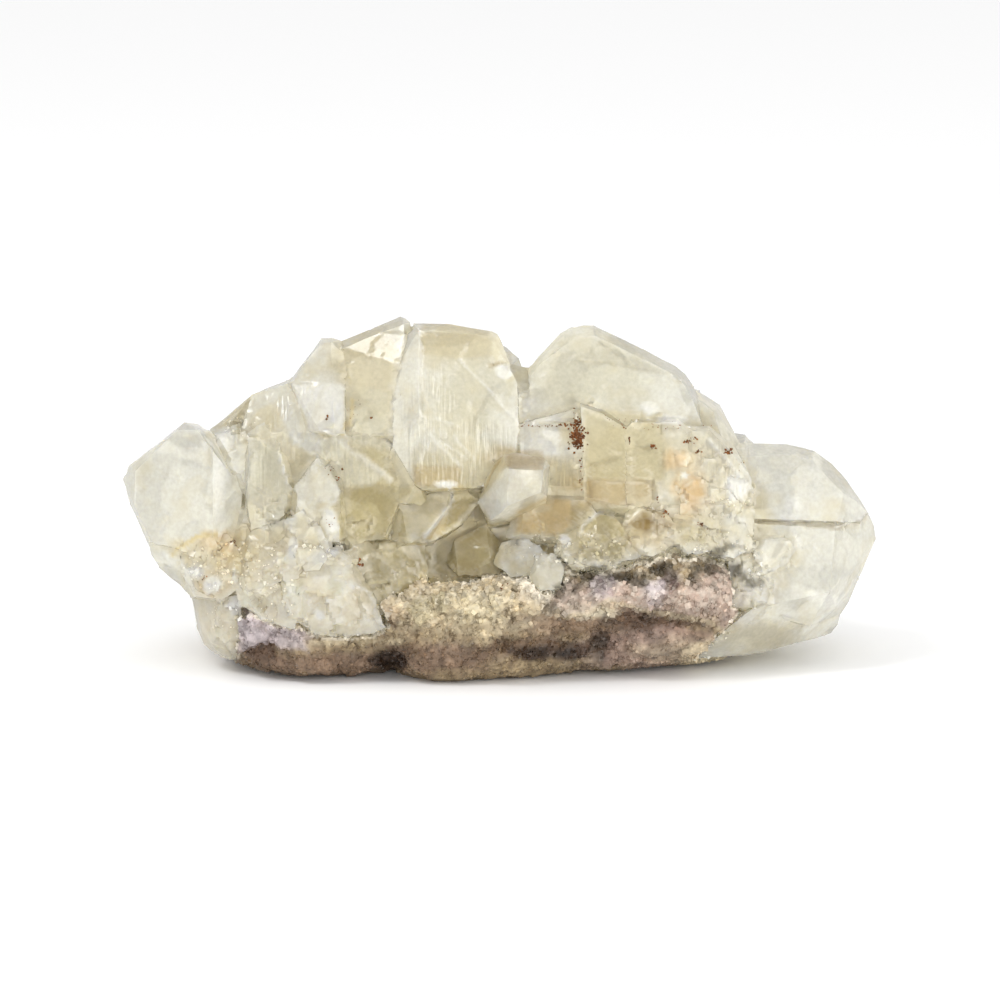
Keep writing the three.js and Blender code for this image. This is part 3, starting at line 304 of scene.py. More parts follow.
# Faces, steps and inner planes of the crystals, with painted highlights and painted light among the white
# ones: [colour, strength, step out in mm, corners of the outline]
FACETS = [
    ["sand", 0.8, 0.1, [[-28.8, 24.9], [-24.8, 28.2], [-25.6, 26], [-26, 25]]],
    ["milk", 0.8, 0,
        [[-24.8, 28.1], [-22, 29], [-22.5, 27.6], [-24, 26.8], [-25.9, 25.1], [-25.3, 27.2]]],
    ["milk", 0.8, 0.1,
        [[-21.5, 29.1], [-19.5, 25.8], [-18.1, 22.7], [-18.5, 22], [-21, 23.8], [-22.3, 27.3]]],
    ["sand", 0.6, -0.1, [[-21.5, 23.6], [-18.5, 22], [-20, 20.6], [-20.9, 19], [-22, 22.4]]],
    ["sage", 0.8, 0.2,
        [[-24.9, 24.4], [-22, 22.4], [-20.9, 18.7], [-21.3, 15.7], [-22.3, 14.7], [-25.5, 15.5]]],
    ["olive", 0.7, -0.2, [[-20.9, 18.7], [-20.3, 19.3], [-20.4, 18.4], [-20.8, 16], [-21.5, 16]]],
    ["milk", 0.8, 0.2,
        [[-18.3, 22], [-17.4, 21.4], [-15.8, 18.4], [-16.4, 17.1], [-20.8, 18.6], [-19.4, 21]]],
    ["sage", 0.7, 0.1,
        [[-17.8, 24.4], [-17.1, 24.6], [-11.8, 20.2], [-12.9, 19], [-16.5, 19.3], [-18, 22.2]]],
    ["olive", 0.9, 0,
        [[-15.8, 18.4], [-12.8, 19.1], [-10, 17.3], [-9.5, 14.2], [-15.9, 13.6], [-16.4, 17.1]]],
    ["sage", 0.6, -0.1,
        [[-15.5, 28.4], [-14, 29.2], [-10.8, 28.4], [-10.8, 24.7], [-11.8, 22.7], [-15.3, 24.1]]],
    # Painted light: white over a face turned away from the light
    ["white", 0.9, 0.1,
        [[-21.1, 29.4], [-15.4, 29.4], [-15.8, 24.2], [-17.8, 24.7], [-19, 26.8], [-19.8, 26.1]]],
    ["sand", 0.7, 0, [[-25.9, 14.1], [-21, 15.2], [-21.3, 13.6], [-22.8, 11.7], [-24.9, 11.7]]],
    ["cream", 0.7, 0.1, [[-20.5, 16.4], [-19.8, 16.4], [-18, 13.7], [-18.8, 12.2], [-20.3, 12.2]]],
    ["khaki", 0.7, 0, [[-15.8, 13.6], [-9.5, 14.2], [-10.3, 11.7], [-14.6, 11.7]]],
    ["milk", 0.8, 0.1,
        [[-8.3, 35.1], [-8, 26], [-8.5, 24.4], [-9.1, 20.4], [-11.3, 23.1], [-10.8, 28], [-9.1, 34.2]]],
    ["sand", 0.6, 0, [[-8, 34.4], [-4, 34.6], [0, 33.8], [0, 32.2], [-4, 31.8], [-8, 32.4]]],
    ["tan", 0.6, 0, [[-8.8, 21.2], [-4, 21], [-4, 19], [-8.8, 19]]],
    ["cream", 0.7, 0.1, [[-0.8, 33.7], [0, 34.5], [0.8, 32.6], [1.1, 31.3], [-0.8, 31.3]]],
    ["cream", 0.8, 0, [[1.3, 30.7], [2.8, 30.6], [2, 29.5], [0.6, 29.7]]],
    ["white", 0.7, 0, [[2, 29.3], [3.4, 29.3], [3.4, 24.8], [5.9, 24.7], [5.9, 22.2], [2, 22.2]]],
    ["tan", 0.4, 0, [[0.5, 22.7], [4.4, 22.7], [4.4, 20.6], [0.5, 21]]],
    ["khaki", 0.6, 0.1, [[-11.1, 18.4], [-8.9, 19.2], [-9.1, 17.8], [-10, 17.3]]],
    ["khaki", 0.8, 0.1, [[-8.9, 19.1], [-4.9, 18.7], [-5, 17.3], [-6.8, 15.4], [-7.8, 14], [-9.3, 14.7]]],
    ["yellow", 0.6, 0, [[-5.6, 16.3], [-6.8, 15.2], [-7.5, 14], [-6.6, 13.4], [-5.5, 14.8]]],
    ["olive", 0.7, 0, [[-4.9, 18.7], [-3.8, 18.6], [-2.4, 17.8], [-2.8, 16.7], [-4.3, 15], [-5.5, 14.6]]],
    # Painted shade in the deep hollow between crystals, here and in the shade face below
    ["shaded_recess", 0.7, 0,
        [[-2.4, 17.2], [-1, 15.2], [0.1, 14], [0.1, 10.3], [-4.4, 9.7], [-6.5, 11], [-7.1, 13],
         [-4.3, 15]]],
    ["shade", 0.7, 0, [[-7, 12.9], [-5.9, 13.8], [-4.6, 13.6], [-4.4, 11.8], [-5.6, 11], [-6.8, 11.5]]],
    ["olive", 0.7, 0.2, [[-2.6, 12.9], [-1.2, 13.2], [0, 12], [0, 10.4], [-2, 10.2]]],
    ["olive", 0.9, 0,
        [[-13, 13.7], [-8.4, 13.3], [-7.1, 13], [-6.8, 11.7], [-9.1, 9], [-12.3, 7.6], [-13, 8.4]]],
    ["yellow", 0.7, 0, [[-9.1, 8.7], [-7.8, 10.2], [-6.5, 10.4], [-5, 9.7], [-6, 8.8], [-8.1, 8.1]]],
    ["honey", 0.9, 0, [[1.9, 16.4], [4.8, 18], [7, 17.8], [7, 15.2], [6.1, 14.4], [1.5, 14.4]]],
    ["milk", 0.6, 0, [[-2.1, 17.6], [-0.9, 15.2], [1.8, 16.4], [4.8, 18], [5.1, 20.7], [0.5, 21]]],
    ["khaki", 0.8, 0, [[8.4, 26.8], [16.3, 26.4], [16.4, 19.7], [8.4, 19.7]]],
    ["tan", 0.5, -0.1, [[8.3, 19.7], [15.4, 19.7], [15.4, 17.1], [8.3, 17.1]]],
    ["cream", 0.6, 0.1, [[22.6, 19.7], [24.9, 19.7], [24.9, 16.3], [22.6, 16.3]]],
    ["khaki", 0.8, 0.1, [[10.6, 17.1], [14.3, 17.1], [12.3, 15.3]]],
    ["olive", 0.7, 0, [[6.4, 14.6], [9.6, 16.4], [10.6, 16.7], [12.7, 14.7], [12.3, 11.8], [7.7, 11.8]]],
    ["bronze", 1, 0,
        [[12.3, 15.3], [14.4, 17.1], [15.7, 17.1], [16.4, 15.8], [17.9, 15.1], [14.9, 14.4]]],
    ["khaki", 0.7, 0.1, [[17.6, 15.1], [20.7, 15.1], [20.7, 13.4], [17.6, 13.4]]],
    ["milk", 0.8, 0.3,
        [[26.4, 13.9], [28.5, 13.7], [29, 13.4], [27.6, 11.1], [26.4, 10.5], [25.5, 12.2]]],
    # Painted highlight where a face glints
    ["white", 0.6, -0.1, [[34.4, 16.6], [35.9, 15.7], [36.8, 16.3], [35.2, 18.8], [34.5, 18]]],
    # Painted light on a facet turned away from the light
    ["white", 0.9, 0, [[-28.9, 23.1], [-25.8, 19.1], [-25.8, 16.9], [-28.2, 14], [-28.7, 20]]],
    # Painted highlights where faces glint, from here to the end of the list
    ["white", 0.5, -0.2, [[-34.8, 14.6], [-33.8, 16.2], [-33.2, 16.3], [-33.3, 15.5], [-34.1, 14.3]]],
    ["white", 0.8, 0.1,
        [[-19.6, 26.2], [-19, 26.8], [-17.9, 26.6], [-17.8, 25], [-18.3, 23.5], [-19, 24.7]]],
    ["white", 0.8, 0.1,
        [[-18, 16.9], [-17, 17.3], [-16.3, 16.2], [-16, 14.8], [-16.5, 13.5], [-17.4, 13.6]]],
    ["white", 0.9, 0.1, [[14, 27.3], [15.1, 27.7], [15.9, 27.1], [15.6, 26.3], [14.7, 25.8]]],
]
FACET_SLOPE = 0.05  # how much a facet leans, mm in a mm
EDGE_SOFT = 0.22  # mm
MOST_STEP = 0.3  # mm
# Edges, ribs and cracks: [colour, strength, width, height in mm, points along it]
RIDGES = [
    ["white", 0.8, 0.2, 0.12, [[-22, 22.5], [-20.9, 18.7]]],
    ["white", 0.6, 0.2, 0.1, [[-29, 24.9], [-27.4, 22.7], [-25.8, 19], [-26, 16.6]]],
    ["white", 0.5, 0.35, 0.05, [[-17.3, 24.6], [-11, 19.8]]],
    ["yellow", 0.7, 0.2, 0, [[-14.9, 27.8], [-15, 26], [-15.8, 24.2]]],
    ["white", 0.6, 0.2, 0.1, [[-8, 35.1], [-8, 25.8]]],
    ["white", 0.6, 0.2, 0.05, [[-4, 31.7], [-1.8, 29.5], [-0.5, 28.1], [1.6, 25.7]]],
    ["white", 0.4, 0.16, 0.05, [[-7.8, 25.1], [-4, 21]]],
    ["white", 0.4, 0.16, 0.05, [[-6.5, 26], [-4, 25.1]]],
    ["white", 0.4, 0.16, 0.05, [[-6.1, 23.7], [-3.3, 21.8]]],
    ["white", 0.4, 0.16, 0.05, [[-4.6, 24.2], [-2.5, 21.7]]],
    ["tan", 0.6, 0.2, -0.1, [[-1, 31.1], [0, 31.3], [1.3, 30.9]]],
    ["tan", 0.6, 0.2, -0.1, [[0, 22.1], [-1.1, 20.2], [-1.5, 19.5], [-1.9, 18.7]]],
    ["white", 0.8, 0.22, 0.1, [[-4.9, 18.7], [-5, 17.3], [-5.6, 16.3], [-7.5, 14]]],
    ["cream", 0.7, 0.2, 0.1, [[-2.4, 17.5], [-4, 15.2], [-6, 14.1], [-7, 13.2]]],
    ["cream", 0.7, 0.2, 0.1, [[-8, 13.6], [-7.3, 13], [-6.8, 12.1], [-6.8, 11.1]]],
    ["cream", 0.6, 0.2, 0.05, [[1.5, 14.1], [5.1, 14]]],
    ["white", 0.7, 0.25, 0.1, [[-16.3, 9.8], [-13.4, 8.8], [-12.5, 7.6], [-12.3, 6], [-11.5, 4.8]]],
    ["sand", 0.8, 0.3, 0.15, [[-15.3, 12.2], [-13.8, 10.5], [-13.4, 9.2]]],
    ["cream", 0.6, 0.2, 0.05, [[8, 27.3], [10, 26.1], [11.1, 25.7]]],
    ["cream", 0.6, 0.2, -0.05, [[8.4, 25.6], [8.4, 17.8]]],
    ["cream", 0.7, 0.2, 0.08, [[19.1, 22.3], [18.3, 20.6], [17.7, 19], [18.7, 17.3]]],
    ["white", 0.6, 0.2, 0.08, [[20.9, 23.8], [25.4, 18.6]]],
    ["cream", 0.7, 0.2, 0.1, [[12.3, 15.3], [14.4, 17.1]]],
    ["white", 0.7, 0.2, 0.08, [[9.6, 16.3], [8.3, 15.4], [7.9, 14.3]]],
    ["white", 0.5, 0.2, 0.05, [[25.2, 20], [24.8, 18.3], [25.3, 16.6], [25.9, 15.9]]],
    ["greige", 0.7, 0.2, -0.1,
        [[25.9, 15.5], [29.8, 15.4], [31.3, 15.2], [33.6, 14.8], [35.5, 15.2], [36.8, 16]]],
    ["white", 0.5, 0.2, 0.05, [[29.6, 14.5], [29.2, 13.1], [28.2, 11.2], [27, 10.2]]],
    ["white", 0.5, 0.2, 0.05, [[29, 12.6], [28.2, 10.3], [27.9, 8.2]]],
    ["white", 0.6, 0.2, 0.08, [[30.4, 4.3], [32.8, 6.2], [34.7, 8.3], [35.2, 9.7]]],
    ["white", 0.6, 0.2, 0.08, [[-34.4, 13.4], [-32.8, 11.5]]],
    ["yellow", 0.8, 0.25, 0, [[-32.8, 12.2], [-32.4, 12.6], [-30.4, 14], [-28.5, 14.2]]],
    ["ochre", 0.6, 0.3, 0, [[-30.7, 9.5], [-29, 8]]],
]
RIDGE_CORE = 0.4  # of its width
RIDGE_FOOT = 1.3
# Painted highlights: white patches where faces glint, and then other places: [right, up, reach to the side,
# reach up]
GLINT_PATCHES = [
    [-27.3, 23.9, 1.2, 0.9], [29.2, 17.4, 1, 0.7], [28.6, 16, 1.2, 0.5], [33.1, 7.5, 1, 0.7],
    [31.3, 8.1, 0.6, 0.6], [0.5, 30.6, 0.8, 0.6], [17.4, 25.8, 1.6, 0.4], [23.8, 19, 1, 1.2],
    [6.5, 13.6, 0.5, 0.6], [-18, 6.2, 0.5, 0.5], [-30.6, 10.6, 0.9, 0.8], [-28.8, 9.2, 0.8, 0.9],
    [-26.5, 10, 0.3, 0.8], [-26.7, 6.9, 0.6, 1.3], [18.5, 20.2, 0.4, 0.4], [-5.4, 19.3, 1, 0.3],
    [29.9, 13.2, 0.3, 1], [29.4, 6.2, 1.2, 0.3], [-20.8, 12.8, 0.5, 1.1], [-16.6, 12.6, 0.4, 0.4],
]
# Where small crystals cover the faces
SUGARY = [
    [-24, 11, 3.4, 3], [-22.5, 8, 2.4, 2.4], [-26, 25, 1.4, 1.6], [21.4, 13.4, 3.4, 1.8],
    [9, 12.2, 4.6, 1.6], [-27.4, 5.6, 1.6, 2.4], [17.4, 11.8, 4.4, 1.2], [4.2, 13, 3, 1.4],
    [-29, 11, 3, 2], [-17.5, 12.6, 2.6, 1.2], [25.6, 11, 1.2, 3], [22.4, 16.4, 2, 1.4],
]
# Where the crystals are broken into chips
BROKEN = [
    [-24, 10, 4.6, 4.6], [-20, 15, 5.6, 3.6], [-14.6, 11, 4.6, 3], [-16.4, 7, 4, 3.6], [-9.4, 9, 4, 2.4],
    [4, 13.4, 4, 2.4], [11, 12.6, 5.6, 2.4], [18.4, 15, 5, 3.2], [22, 18.4, 2.6, 3.4],
    [-30, 11, 3.4, 2.6], [-25.6, 23.4, 1.6, 2], [-27, 5, 2, 3], [25.6, 9.4, 1.8, 4],
    [19.6, 21.4, 2.4, 1.8], [-18.6, 19.6, 2.4, 2],
]
# Finely striped faces
STRIATED = [
    [-22.6, 20, 2.4, 5.4], [-2.6, 21.6, 5.6, 4], [23, 20, 3, 4], [-20.8, 26, 2.6, 3], [-7, 25, 2.4, 5],
    [-14.4, 21.6, 3.4, 3.4], [6.4, 20.6, 2, 2.6],
]
# The matrix, with the same values in each row
MATRIX_PATCHES = [
    # The umber row at 11 is painted shadow under the ledge of the matrix
    ["beige", -3, 7.4, 8, 4.4, 0.9], ["sand", -2.4, 6.6, 3, 2, 0.6], ["umber", 11, 5.2, 9.6, 1.5, 0.8],
    ["rose", 14, 2.8, 7, 1.8, 0.8], ["sand", 20.6, 2.6, 6, 1.5, 0.9],
    ["lilac", -25.4, 5.8, 3.2, 3.2, 0.95], ["lilac", -21.6, 4.6, 3.8, 1.9, 0.8],
    ["plum", -25, 7.4, 1.4, 0.8, 0.6], ["bark", -24, 2.6, 2, 1.2, 0.95], ["umber", -17, 1.3, 8, 1.5, 0.9],
    ["crust", -14, 3.4, 6, 0.8, 0.9], ["umber", -6, 2, 5.6, 1.7, 0.9], ["crust", -3.6, 4.4, 6, 0.8, 0.7],
    # The pitch row at -11.2 is painted shadow in the notch under the matrix
    ["pitch", -11.2, 1.9, 1.5, 0.9, 1], ["sugar", 4.4, 10.4, 2.4, 2.6, 0.95],
    ["rose", 8, 8, 2.6, 1.7, 0.8], ["cream", 9, 6.6, 3, 0.8, 0.7], ["lilac", 10.6, 9.2, 1.6, 1.4, 0.9],
    ["rose", 13.6, 8, 2.6, 1.6, 0.8], ["plum", 17, 9.4, 1.1, 1.2, 0.9], ["lilac", 15.2, 8.8, 1.2, 1, 0.7],
    ["rose", 18.6, 7.6, 2.6, 1.5, 0.7], ["rose", 21.6, 8.4, 2.6, 2.6, 0.9],
    # Painted shadow under the ledge: the bark row at 14.4 here and the first pitch row below
    ["rose", 24.6, 6.2, 2.6, 2, 0.9], ["crust", 10, 7, 3, 0.5, 0.4], ["bark", 14.4, 5.8, 5, 0.8, 0.6],
    ["pitch", 9.9, 3.3, 1.4, 1.5, 0.9], ["bark", 3, 3, 4.6, 1, 0.8], ["pitch", 3.6, 2.4, 2.4, 0.7, 0.9],
    ["pitch", 6.9, 2.4, 1.5, 0.6, 0.9], ["pitch", 7.2, 3.4, 1, 0.3, 0.7],
    ["pitch", 4.9, 7, 0.7, 0.6, 0.7],
]
MATRIX_FACETS = [
    ["plum", 0.4, 0.1, [[9, 10.3], [11.1, 10], [11.9, 9.6], [10.6, 7.8], [9.3, 9]]],
    ["rose", 0.6, 0.3, [[5.3, 8], [8.1, 8.7], [9.7, 8.3], [11.1, 7.6], [8.7, 6.3], [6.4, 6.1]]],
    ["rose", 0.6, 0.2, [[11.3, 8.7], [12.1, 9.6], [14.3, 9.3], [14.6, 7.1], [13.1, 7.1]]],
    ["lilac", 0.5, 0, [[14.6, 9.6], [16.3, 9.6], [16.6, 8.3], [16.4, 7.1], [14.9, 7.1]]],
    ["bark", 0.5, -0.3, [[16.4, 9.7], [16.9, 10.1], [18, 10], [18.1, 9.3], [17.4, 8.6], [16.6, 8.8]]],
    ["rose", 0.6, 0.3, [[16.6, 7.8], [18.7, 9.7], [19.9, 8.8], [20.1, 7.1], [19.6, 6], [17.7, 6.7]]],
    ["rose", 0.5, 0.2, [[19.6, 9.3], [21.1, 10.4], [23, 9.6], [23.4, 8.6], [22.3, 5.7], [20.1, 7.1]]],
    ["rose", 0.6, 0.3, [[21.3, 5.7], [23.4, 7.1], [26.3, 7.1], [26.4, 5.8], [24.4, 4.6], [22.6, 3.8]]],
    # Painted shadow under the ledge of the matrix
    ["bark", 0.5, -0.2, [[11.4, 7.3], [14, 6.6], [16.9, 6.8], [19.3, 6], [18.3, 4.8], [12.6, 4.8]]],
    ["mauve", 0.6, 0.2,
        [[11, 4.3], [16.9, 5.4], [21.1, 4.6], [21.9, 3.4], [19.7, 2], [16.4, 1.3], [10.4, 1.3]]],
    ["beige", 0.6, 0.1, [[18, 3], [22, 4.2], [26, 4.8], [29, 3.4], [24, 1.6], [18, 1.2]]],
    ["lilac", 0.6, 0.2,
        [[-25.1, 7.8], [-23, 6], [-20.5, 5.2], [-19, 2.5], [-23.8, 3.6], [-27.6, 1.7], [-27.5, 5]]],
    ["umber", 0.5, -0.2,
        [[-25.8, 2.5], [-23.5, 3.6], [-22.6, 3.4], [-22.6, 2.2], [-20.8, 1.3], [-25.6, 1.3]]],
    ["umber", 0.5, -0.3, [[-12.1, 6.8], [-11.1, 7], [-9.6, 6.8], [-9.8, 6], [-10.5, 4.8], [-11.6, 5.2]]],
    ["khaki", 0.5, 0.2, [[-9.5, 7.1], [-8, 8.1], [-5.5, 8.3], [-5, 7.2], [-6.8, 6], [-8, 5.1]]],
    # Painted shadow in the notch under the matrix
    ["pitch", 0.7, -0.3, [[-12, 2.6], [-9.8, 2.4], [-9.2, 1.2], [-10.8, 0.6], [-12, 1.6]]],
]
MATRIX_RIDGES = [
    ["beige", 0.5, 0.3, 0,
        [[6.4, 6], [8.7, 6.4], [10.9, 7.7], [14, 6.8], [21, 5.6], [22.6, 4.4], [25.1, 5.1], [26.7, 6]]],
    ["beige", 0.6, 0.3, 0.1, [[22.1, 3.5], [24.8, 4.8], [26.7, 6.3], [27.9, 7.7]]],
    ["beige", 0.5, 0.4, 0.1, [[-18.8, 3.4], [-14, 3.6], [-10, 3.6]]],
    ["beige", 0.5, 0.4, 0.1, [[-6, 4.9], [-1.8, 4.4], [3, 5.4]]],
]
# The dark mossy seam runs through the first points, its other parts through the others
SEAM = [
    [[6.1, 8.7], [7.3, 9.6], [8.7, 10.3], [10.1, 10.6], [11.6, 10], [14, 9.7], [15.3, 10.4], [16.6, 11],
     [16.9, 9.7]],
    [[19.4, 9.6], [19.6, 10.7], [21, 10.7], [21.6, 12.3], [22.7, 13], [23.7, 13]],
    [[23, 11], [23.9, 10], [25.1, 9.6], [26.1, 9.6]],
]
SEAM_WIDTH = 0.6  # mm
SEAM_FAINTEST = 0.6
SEAM_CORE = 0.5  # of its width
SEAM_FOOT = 1.3
GLINT_SOFT = 0.35  # of its reach

# Noises that are added up, each as its amount, size and seed
PATCH_EDGE = [[0.35, 1.6 * MM, 11], [0.175, 0.6 * MM, 12]]
SEAM_EDGE = [[0.45, 0.9 * MM, 21], [0.25, 0.4 * MM, 22]]
TINT_CHANGE = [[0.5, 2.2 * MM, 0], [0.5, 0.7 * MM, 1]]
WAVER = ([[0.12, 1.3 * MM, 61]], [[0.12, 1.3 * MM, 62]])  # of the outlines, to the right and up, in mm

# Marks over the tints: colour and strength
MARKS = {
    "seam": ("moss", 0.75),
    "pale edges": ("sugar", 0.3),
    "dark edges": ("bark", 0.25),
    "painted hollow shade": ("umber", 0.25),
    "pale contact": ("pale", 0.9),
    "chip edges": ("pale", 0.25),
    "sand behind": ("sand", 0.5),
    "sand contact": ("sand", 0.5),
    "painted crease light": ("cream", 0.4),
}

# Random spots: size, seed, and the noise at which a spot begins and is full
SPOTS = {
    "seam": [1.1 * MM, 23, -0.5, 0.1],
    "sugar behind": [7 * MM, 31, 0.2, 0.8],
    "breaks behind": [6 * MM, 37, -0.2, 0.5],
    "sand behind": [9 * MM, 38, -0.2, 0.6],
    "open joints": [2 * MM, 39, -0.4, 0.3],
    "rose behind": [6 * MM, 53, -0.3, 0.5],
}


def spots(points, kind):
    size, seed, start, full = SPOTS[kind]
    return rise(start, full, smooth_noise(points, size, seed))


def patch(place, ragged, middle, reach, soft=0.5):
    """How far each point is in an oval patch, 0 to 1, with a ragged edge."""
    right, up = place
    away = np.hypot((right - middle[0]) / reach[0], (up - middle[1]) / reach[1]) + ragged
    return 1 - rise(1 - soft, 1 + soft, away)


def mixed(colours, name, share):
    return colours * (1 - share[:, None]) + linear(PALETTE[name]) * share[:, None]


def marked(colours, mark, share):
    name, strength = MARKS[mark]
    return mixed(colours, name, strength * share)


def tinted(start, patches, place, points):
    """The start colour with the patches over it."""
    ragged = layered_noise(points, PATCH_EDGE)
    front = points[:, 1] <= FRONT_DEPTH
    colours = np.tile(linear(PALETTE[start]), (len(points), 1))
    for name, right, up, side, high, strength in patches:
        share = strength * patch(place, ragged, (right, up), (side, high)) * front
        colours = mixed(colours, name, share)
    return colours


def joined_patches(patches, place, points, soft=0.5):
    ragged = layered_noise(points, PATCH_EDGE)
    most = np.zeros(len(points))
    for right, up, side, high in patches:
        most = np.maximum(most, patch(place, ragged, (right, up), (side, high), soft))
    return most * (points[:, 1] <= FRONT_DEPTH)


def line_distance(place, start, end):
    """How far each point is from the stretch between two places, in mm."""
    at = np.stack(place, axis=1)
    start, end = np.array(start), np.array(end)
    along = np.clip((at - start) @ (end - start) / ((end - start) @ (end - start)), 0, 1)
    return np.linalg.norm(at - start - along[:, None] * (end - start), axis=1)


def path_distance(place, path):
    nearest = np.full(len(place[0]), FAR)
    for start, end in zip(path[:-1], path[1:]):
        nearest = np.minimum(nearest, line_distance(place, start, end))
    return nearest


def inside_outline(place, corners):
    """1 inside the outline and 0 outside, with a soft edge."""
    right, up = place
    inside = np.zeros(len(right), bool)
    for start, end in zip(corners, corners[1:] + corners[:1]):
        crossed = (start[1] > up) != (end[1] > up)
        level = (up - start[1]) / ((end[1] - start[1]) or 1)
        inside ^= crossed & (right < start[0] + (end[0] - start[0]) * level)
    nearest = path_distance(place, corners + corners[:1])
    return rise(-EDGE_SOFT, EDGE_SOFT, np.where(inside, nearest, -nearest))


def faceted(colours, place, points, facets, ridges, chance):
    """The colours with the facets and ridges in them, and how far these stand out, in mm."""
    wavy = tuple(axis + layered_noise(points, layers) for axis, layers in zip(place, WAVER))
    front = points[:, 1] < FRONT_DEPTH
    height = np.zeros(len(points))
    for name, strength, step, corners in facets:
        share = inside_outline(wavy, corners) * front
        middle = np.mean(corners, axis=0)
        lean = FACET_SLOPE * chance.uniform(-1, 1, 2)
        tilted = step + lean[0] * (place[0] - middle[0]) + lean[1] * (place[1] - middle[1])
        height = height * (1 - share) + share * np.clip(tilted, -MOST_STEP, MOST_STEP)
        colours = mixed(colours, name, strength * share)
    for name, strength, width, high, path in ridges:
        away = path_distance(wavy, path)
        share = (1 - rise(RIDGE_CORE * width, RIDGE_FOOT * width, away)) * front
        height = height + high * share
        colours = mixed(colours, name, strength * share)
    return colours, height


def seam_share(place, points):
    """How far each point is in the dark seam, 0 to 1."""
    nearest = np.min([path_distance(place, path) for path in SEAM], axis=0)
    wavy = nearest + layered_noise(points, SEAM_EDGE)
    thick = SEAM_FAINTEST + (1 - SEAM_FAINTEST) * spots(points, "seam")
    in_front = points[:, 1] < 0
    return (1 - rise(SEAM_CORE * SEAM_WIDTH, SEAM_FOOT * SEAM_WIDTH, wavy)) * in_front * thick


def varied(colours, points, amount):
    """The colours a little lighter and darker from place to place."""
    change = layered_noise(points, TINT_CHANGE)
    return np.clip(colours * (1 + amount * change[:, None]), 0, 1)


def chipped(colours, wide, small, contrast, share=1):
    """The colours lighter or darker from chip to chip: wide and small are what chips gives."""
    lighter = share * (contrast[0] * (wide[1] - 0.5) + contrast[1] * (small[1] - 0.5))
    return np.clip(colours * (1 + lighter[:, None]), 0, 1)


def near_piece(points, piece, reach):
    """1 where a point lies on the other piece and 0 where it is further from it than the reach."""
    tree = BVHTree.FromObject(piece, bpy.context.evaluated_depsgraph_get())
    away = [tree.find_nearest(point, reach)[3] or reach for point in points]
    return 1 - rise(0, 1, np.array(away) / reach)


def covered(points, normals, piece, reach):
    """1 where the surface faces the other piece within the reach, else 0."""
    tree = BVHTree.FromObject(piece, bpy.context.evaluated_depsgraph_get())
    hits = [tree.ray_cast(point, normal, reach)[0] for point, normal in zip(points, normals)]
    return np.array([hit is not None for hit in hits], float)


# The matrix: a lumpy crust of flat chips
MATRIX_CHIPS = ((2.3 * MM, 51), (0.95 * MM, 61))  # size and seed of the wide and the small ones
MATRIX_WAVES = [[0.08, 2 * MM, 52]]
MATRIX_SWELL = 0.1  # mm
MATRIX_RELIEF = (0.42, 0.22)  # mm, of the wide and the small chips
MATRIX_STEPS = (-0.6, 0.4)  # mm, the most that a point goes in and out
SEAM_DEPTH = 0.25  # mm
MATRIX_CONTRAST = (0.4, 0.32)  # between the colours of wide chips and of small ones
MATRIX_BEHIND = (0, 6 * MM)  # the back turns rose between these depths
MATRIX_VARIETY = 0.12
FOOT = (0.02 * MM, 0.5 * MM)  # nothing moves below the first height, all moves above the second
CONTACT = 1 * MM
DARK_BELOW = (4, 7)  # mm up, as seen: the edges of wide chips are dark below and not above
PALE_ABOVE = (5, 8)


def matrix_piece(chance):
    piece = dense_copy("druzy_matrix", "matrix_skin", MATRIX_CELL, "VOXEL")
    mesh = piece.data
    points, normals = mesh_arrays(mesh)
    place = seen_place(points)
    seam = seam_share(place, points)
    wide, small = (chips(points, *kind) for kind in MATRIX_CHIPS)
    colours = tinted("crust", MATRIX_PATCHES, place, points)
    colours, height = faceted(colours, place, points, MATRIX_FACETS, MATRIX_RIDGES, chance)
    amount = MATRIX_SWELL + height + layered_noise(points, MATRIX_WAVES)
    amount += MATRIX_RELIEF[0] * wide[0] + MATRIX_RELIEF[1] * small[0]
    amount = np.clip(amount - SEAM_DEPTH * seam, *MATRIX_STEPS)
    move_out(mesh, amount * rise(*FOOT, points[:, 2]) * MM)
    behind = rise(*MATRIX_BEHIND, points[:, 1]) * spots(points, "rose behind")
    colours = mixed(colours, "rose", behind)
    colours = chipped(colours, wide, small, MATRIX_CONTRAST)
    pale_edges = small[2] * rise(*PALE_ABOVE, place[1])
    dark_edges = wide[2] * (1 - rise(*DARK_BELOW, place[1]))
    colours = marked(colours, "pale edges", pale_edges)
    colours = marked(colours, "dark edges", dark_edges)
    # Painted shade: hollows and creases of the matrix are darkened
    colours = marked(colours, "painted hollow shade", np.clip(hollowness(mesh, rounds=2), 0, 1))
    colours = marked(colours, "seam", seam)
    hidden = covered(points, normals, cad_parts["clear_crystals"], CONTACT)
    hidden = hidden * neighbours_mean(mesh, hidden, rounds=4) * (1 - seam)
    colours = marked(colours, "pale contact", hidden)
    paint(mesh, "tint", varied(colours, points, MATRIX_VARIETY))
    return piece


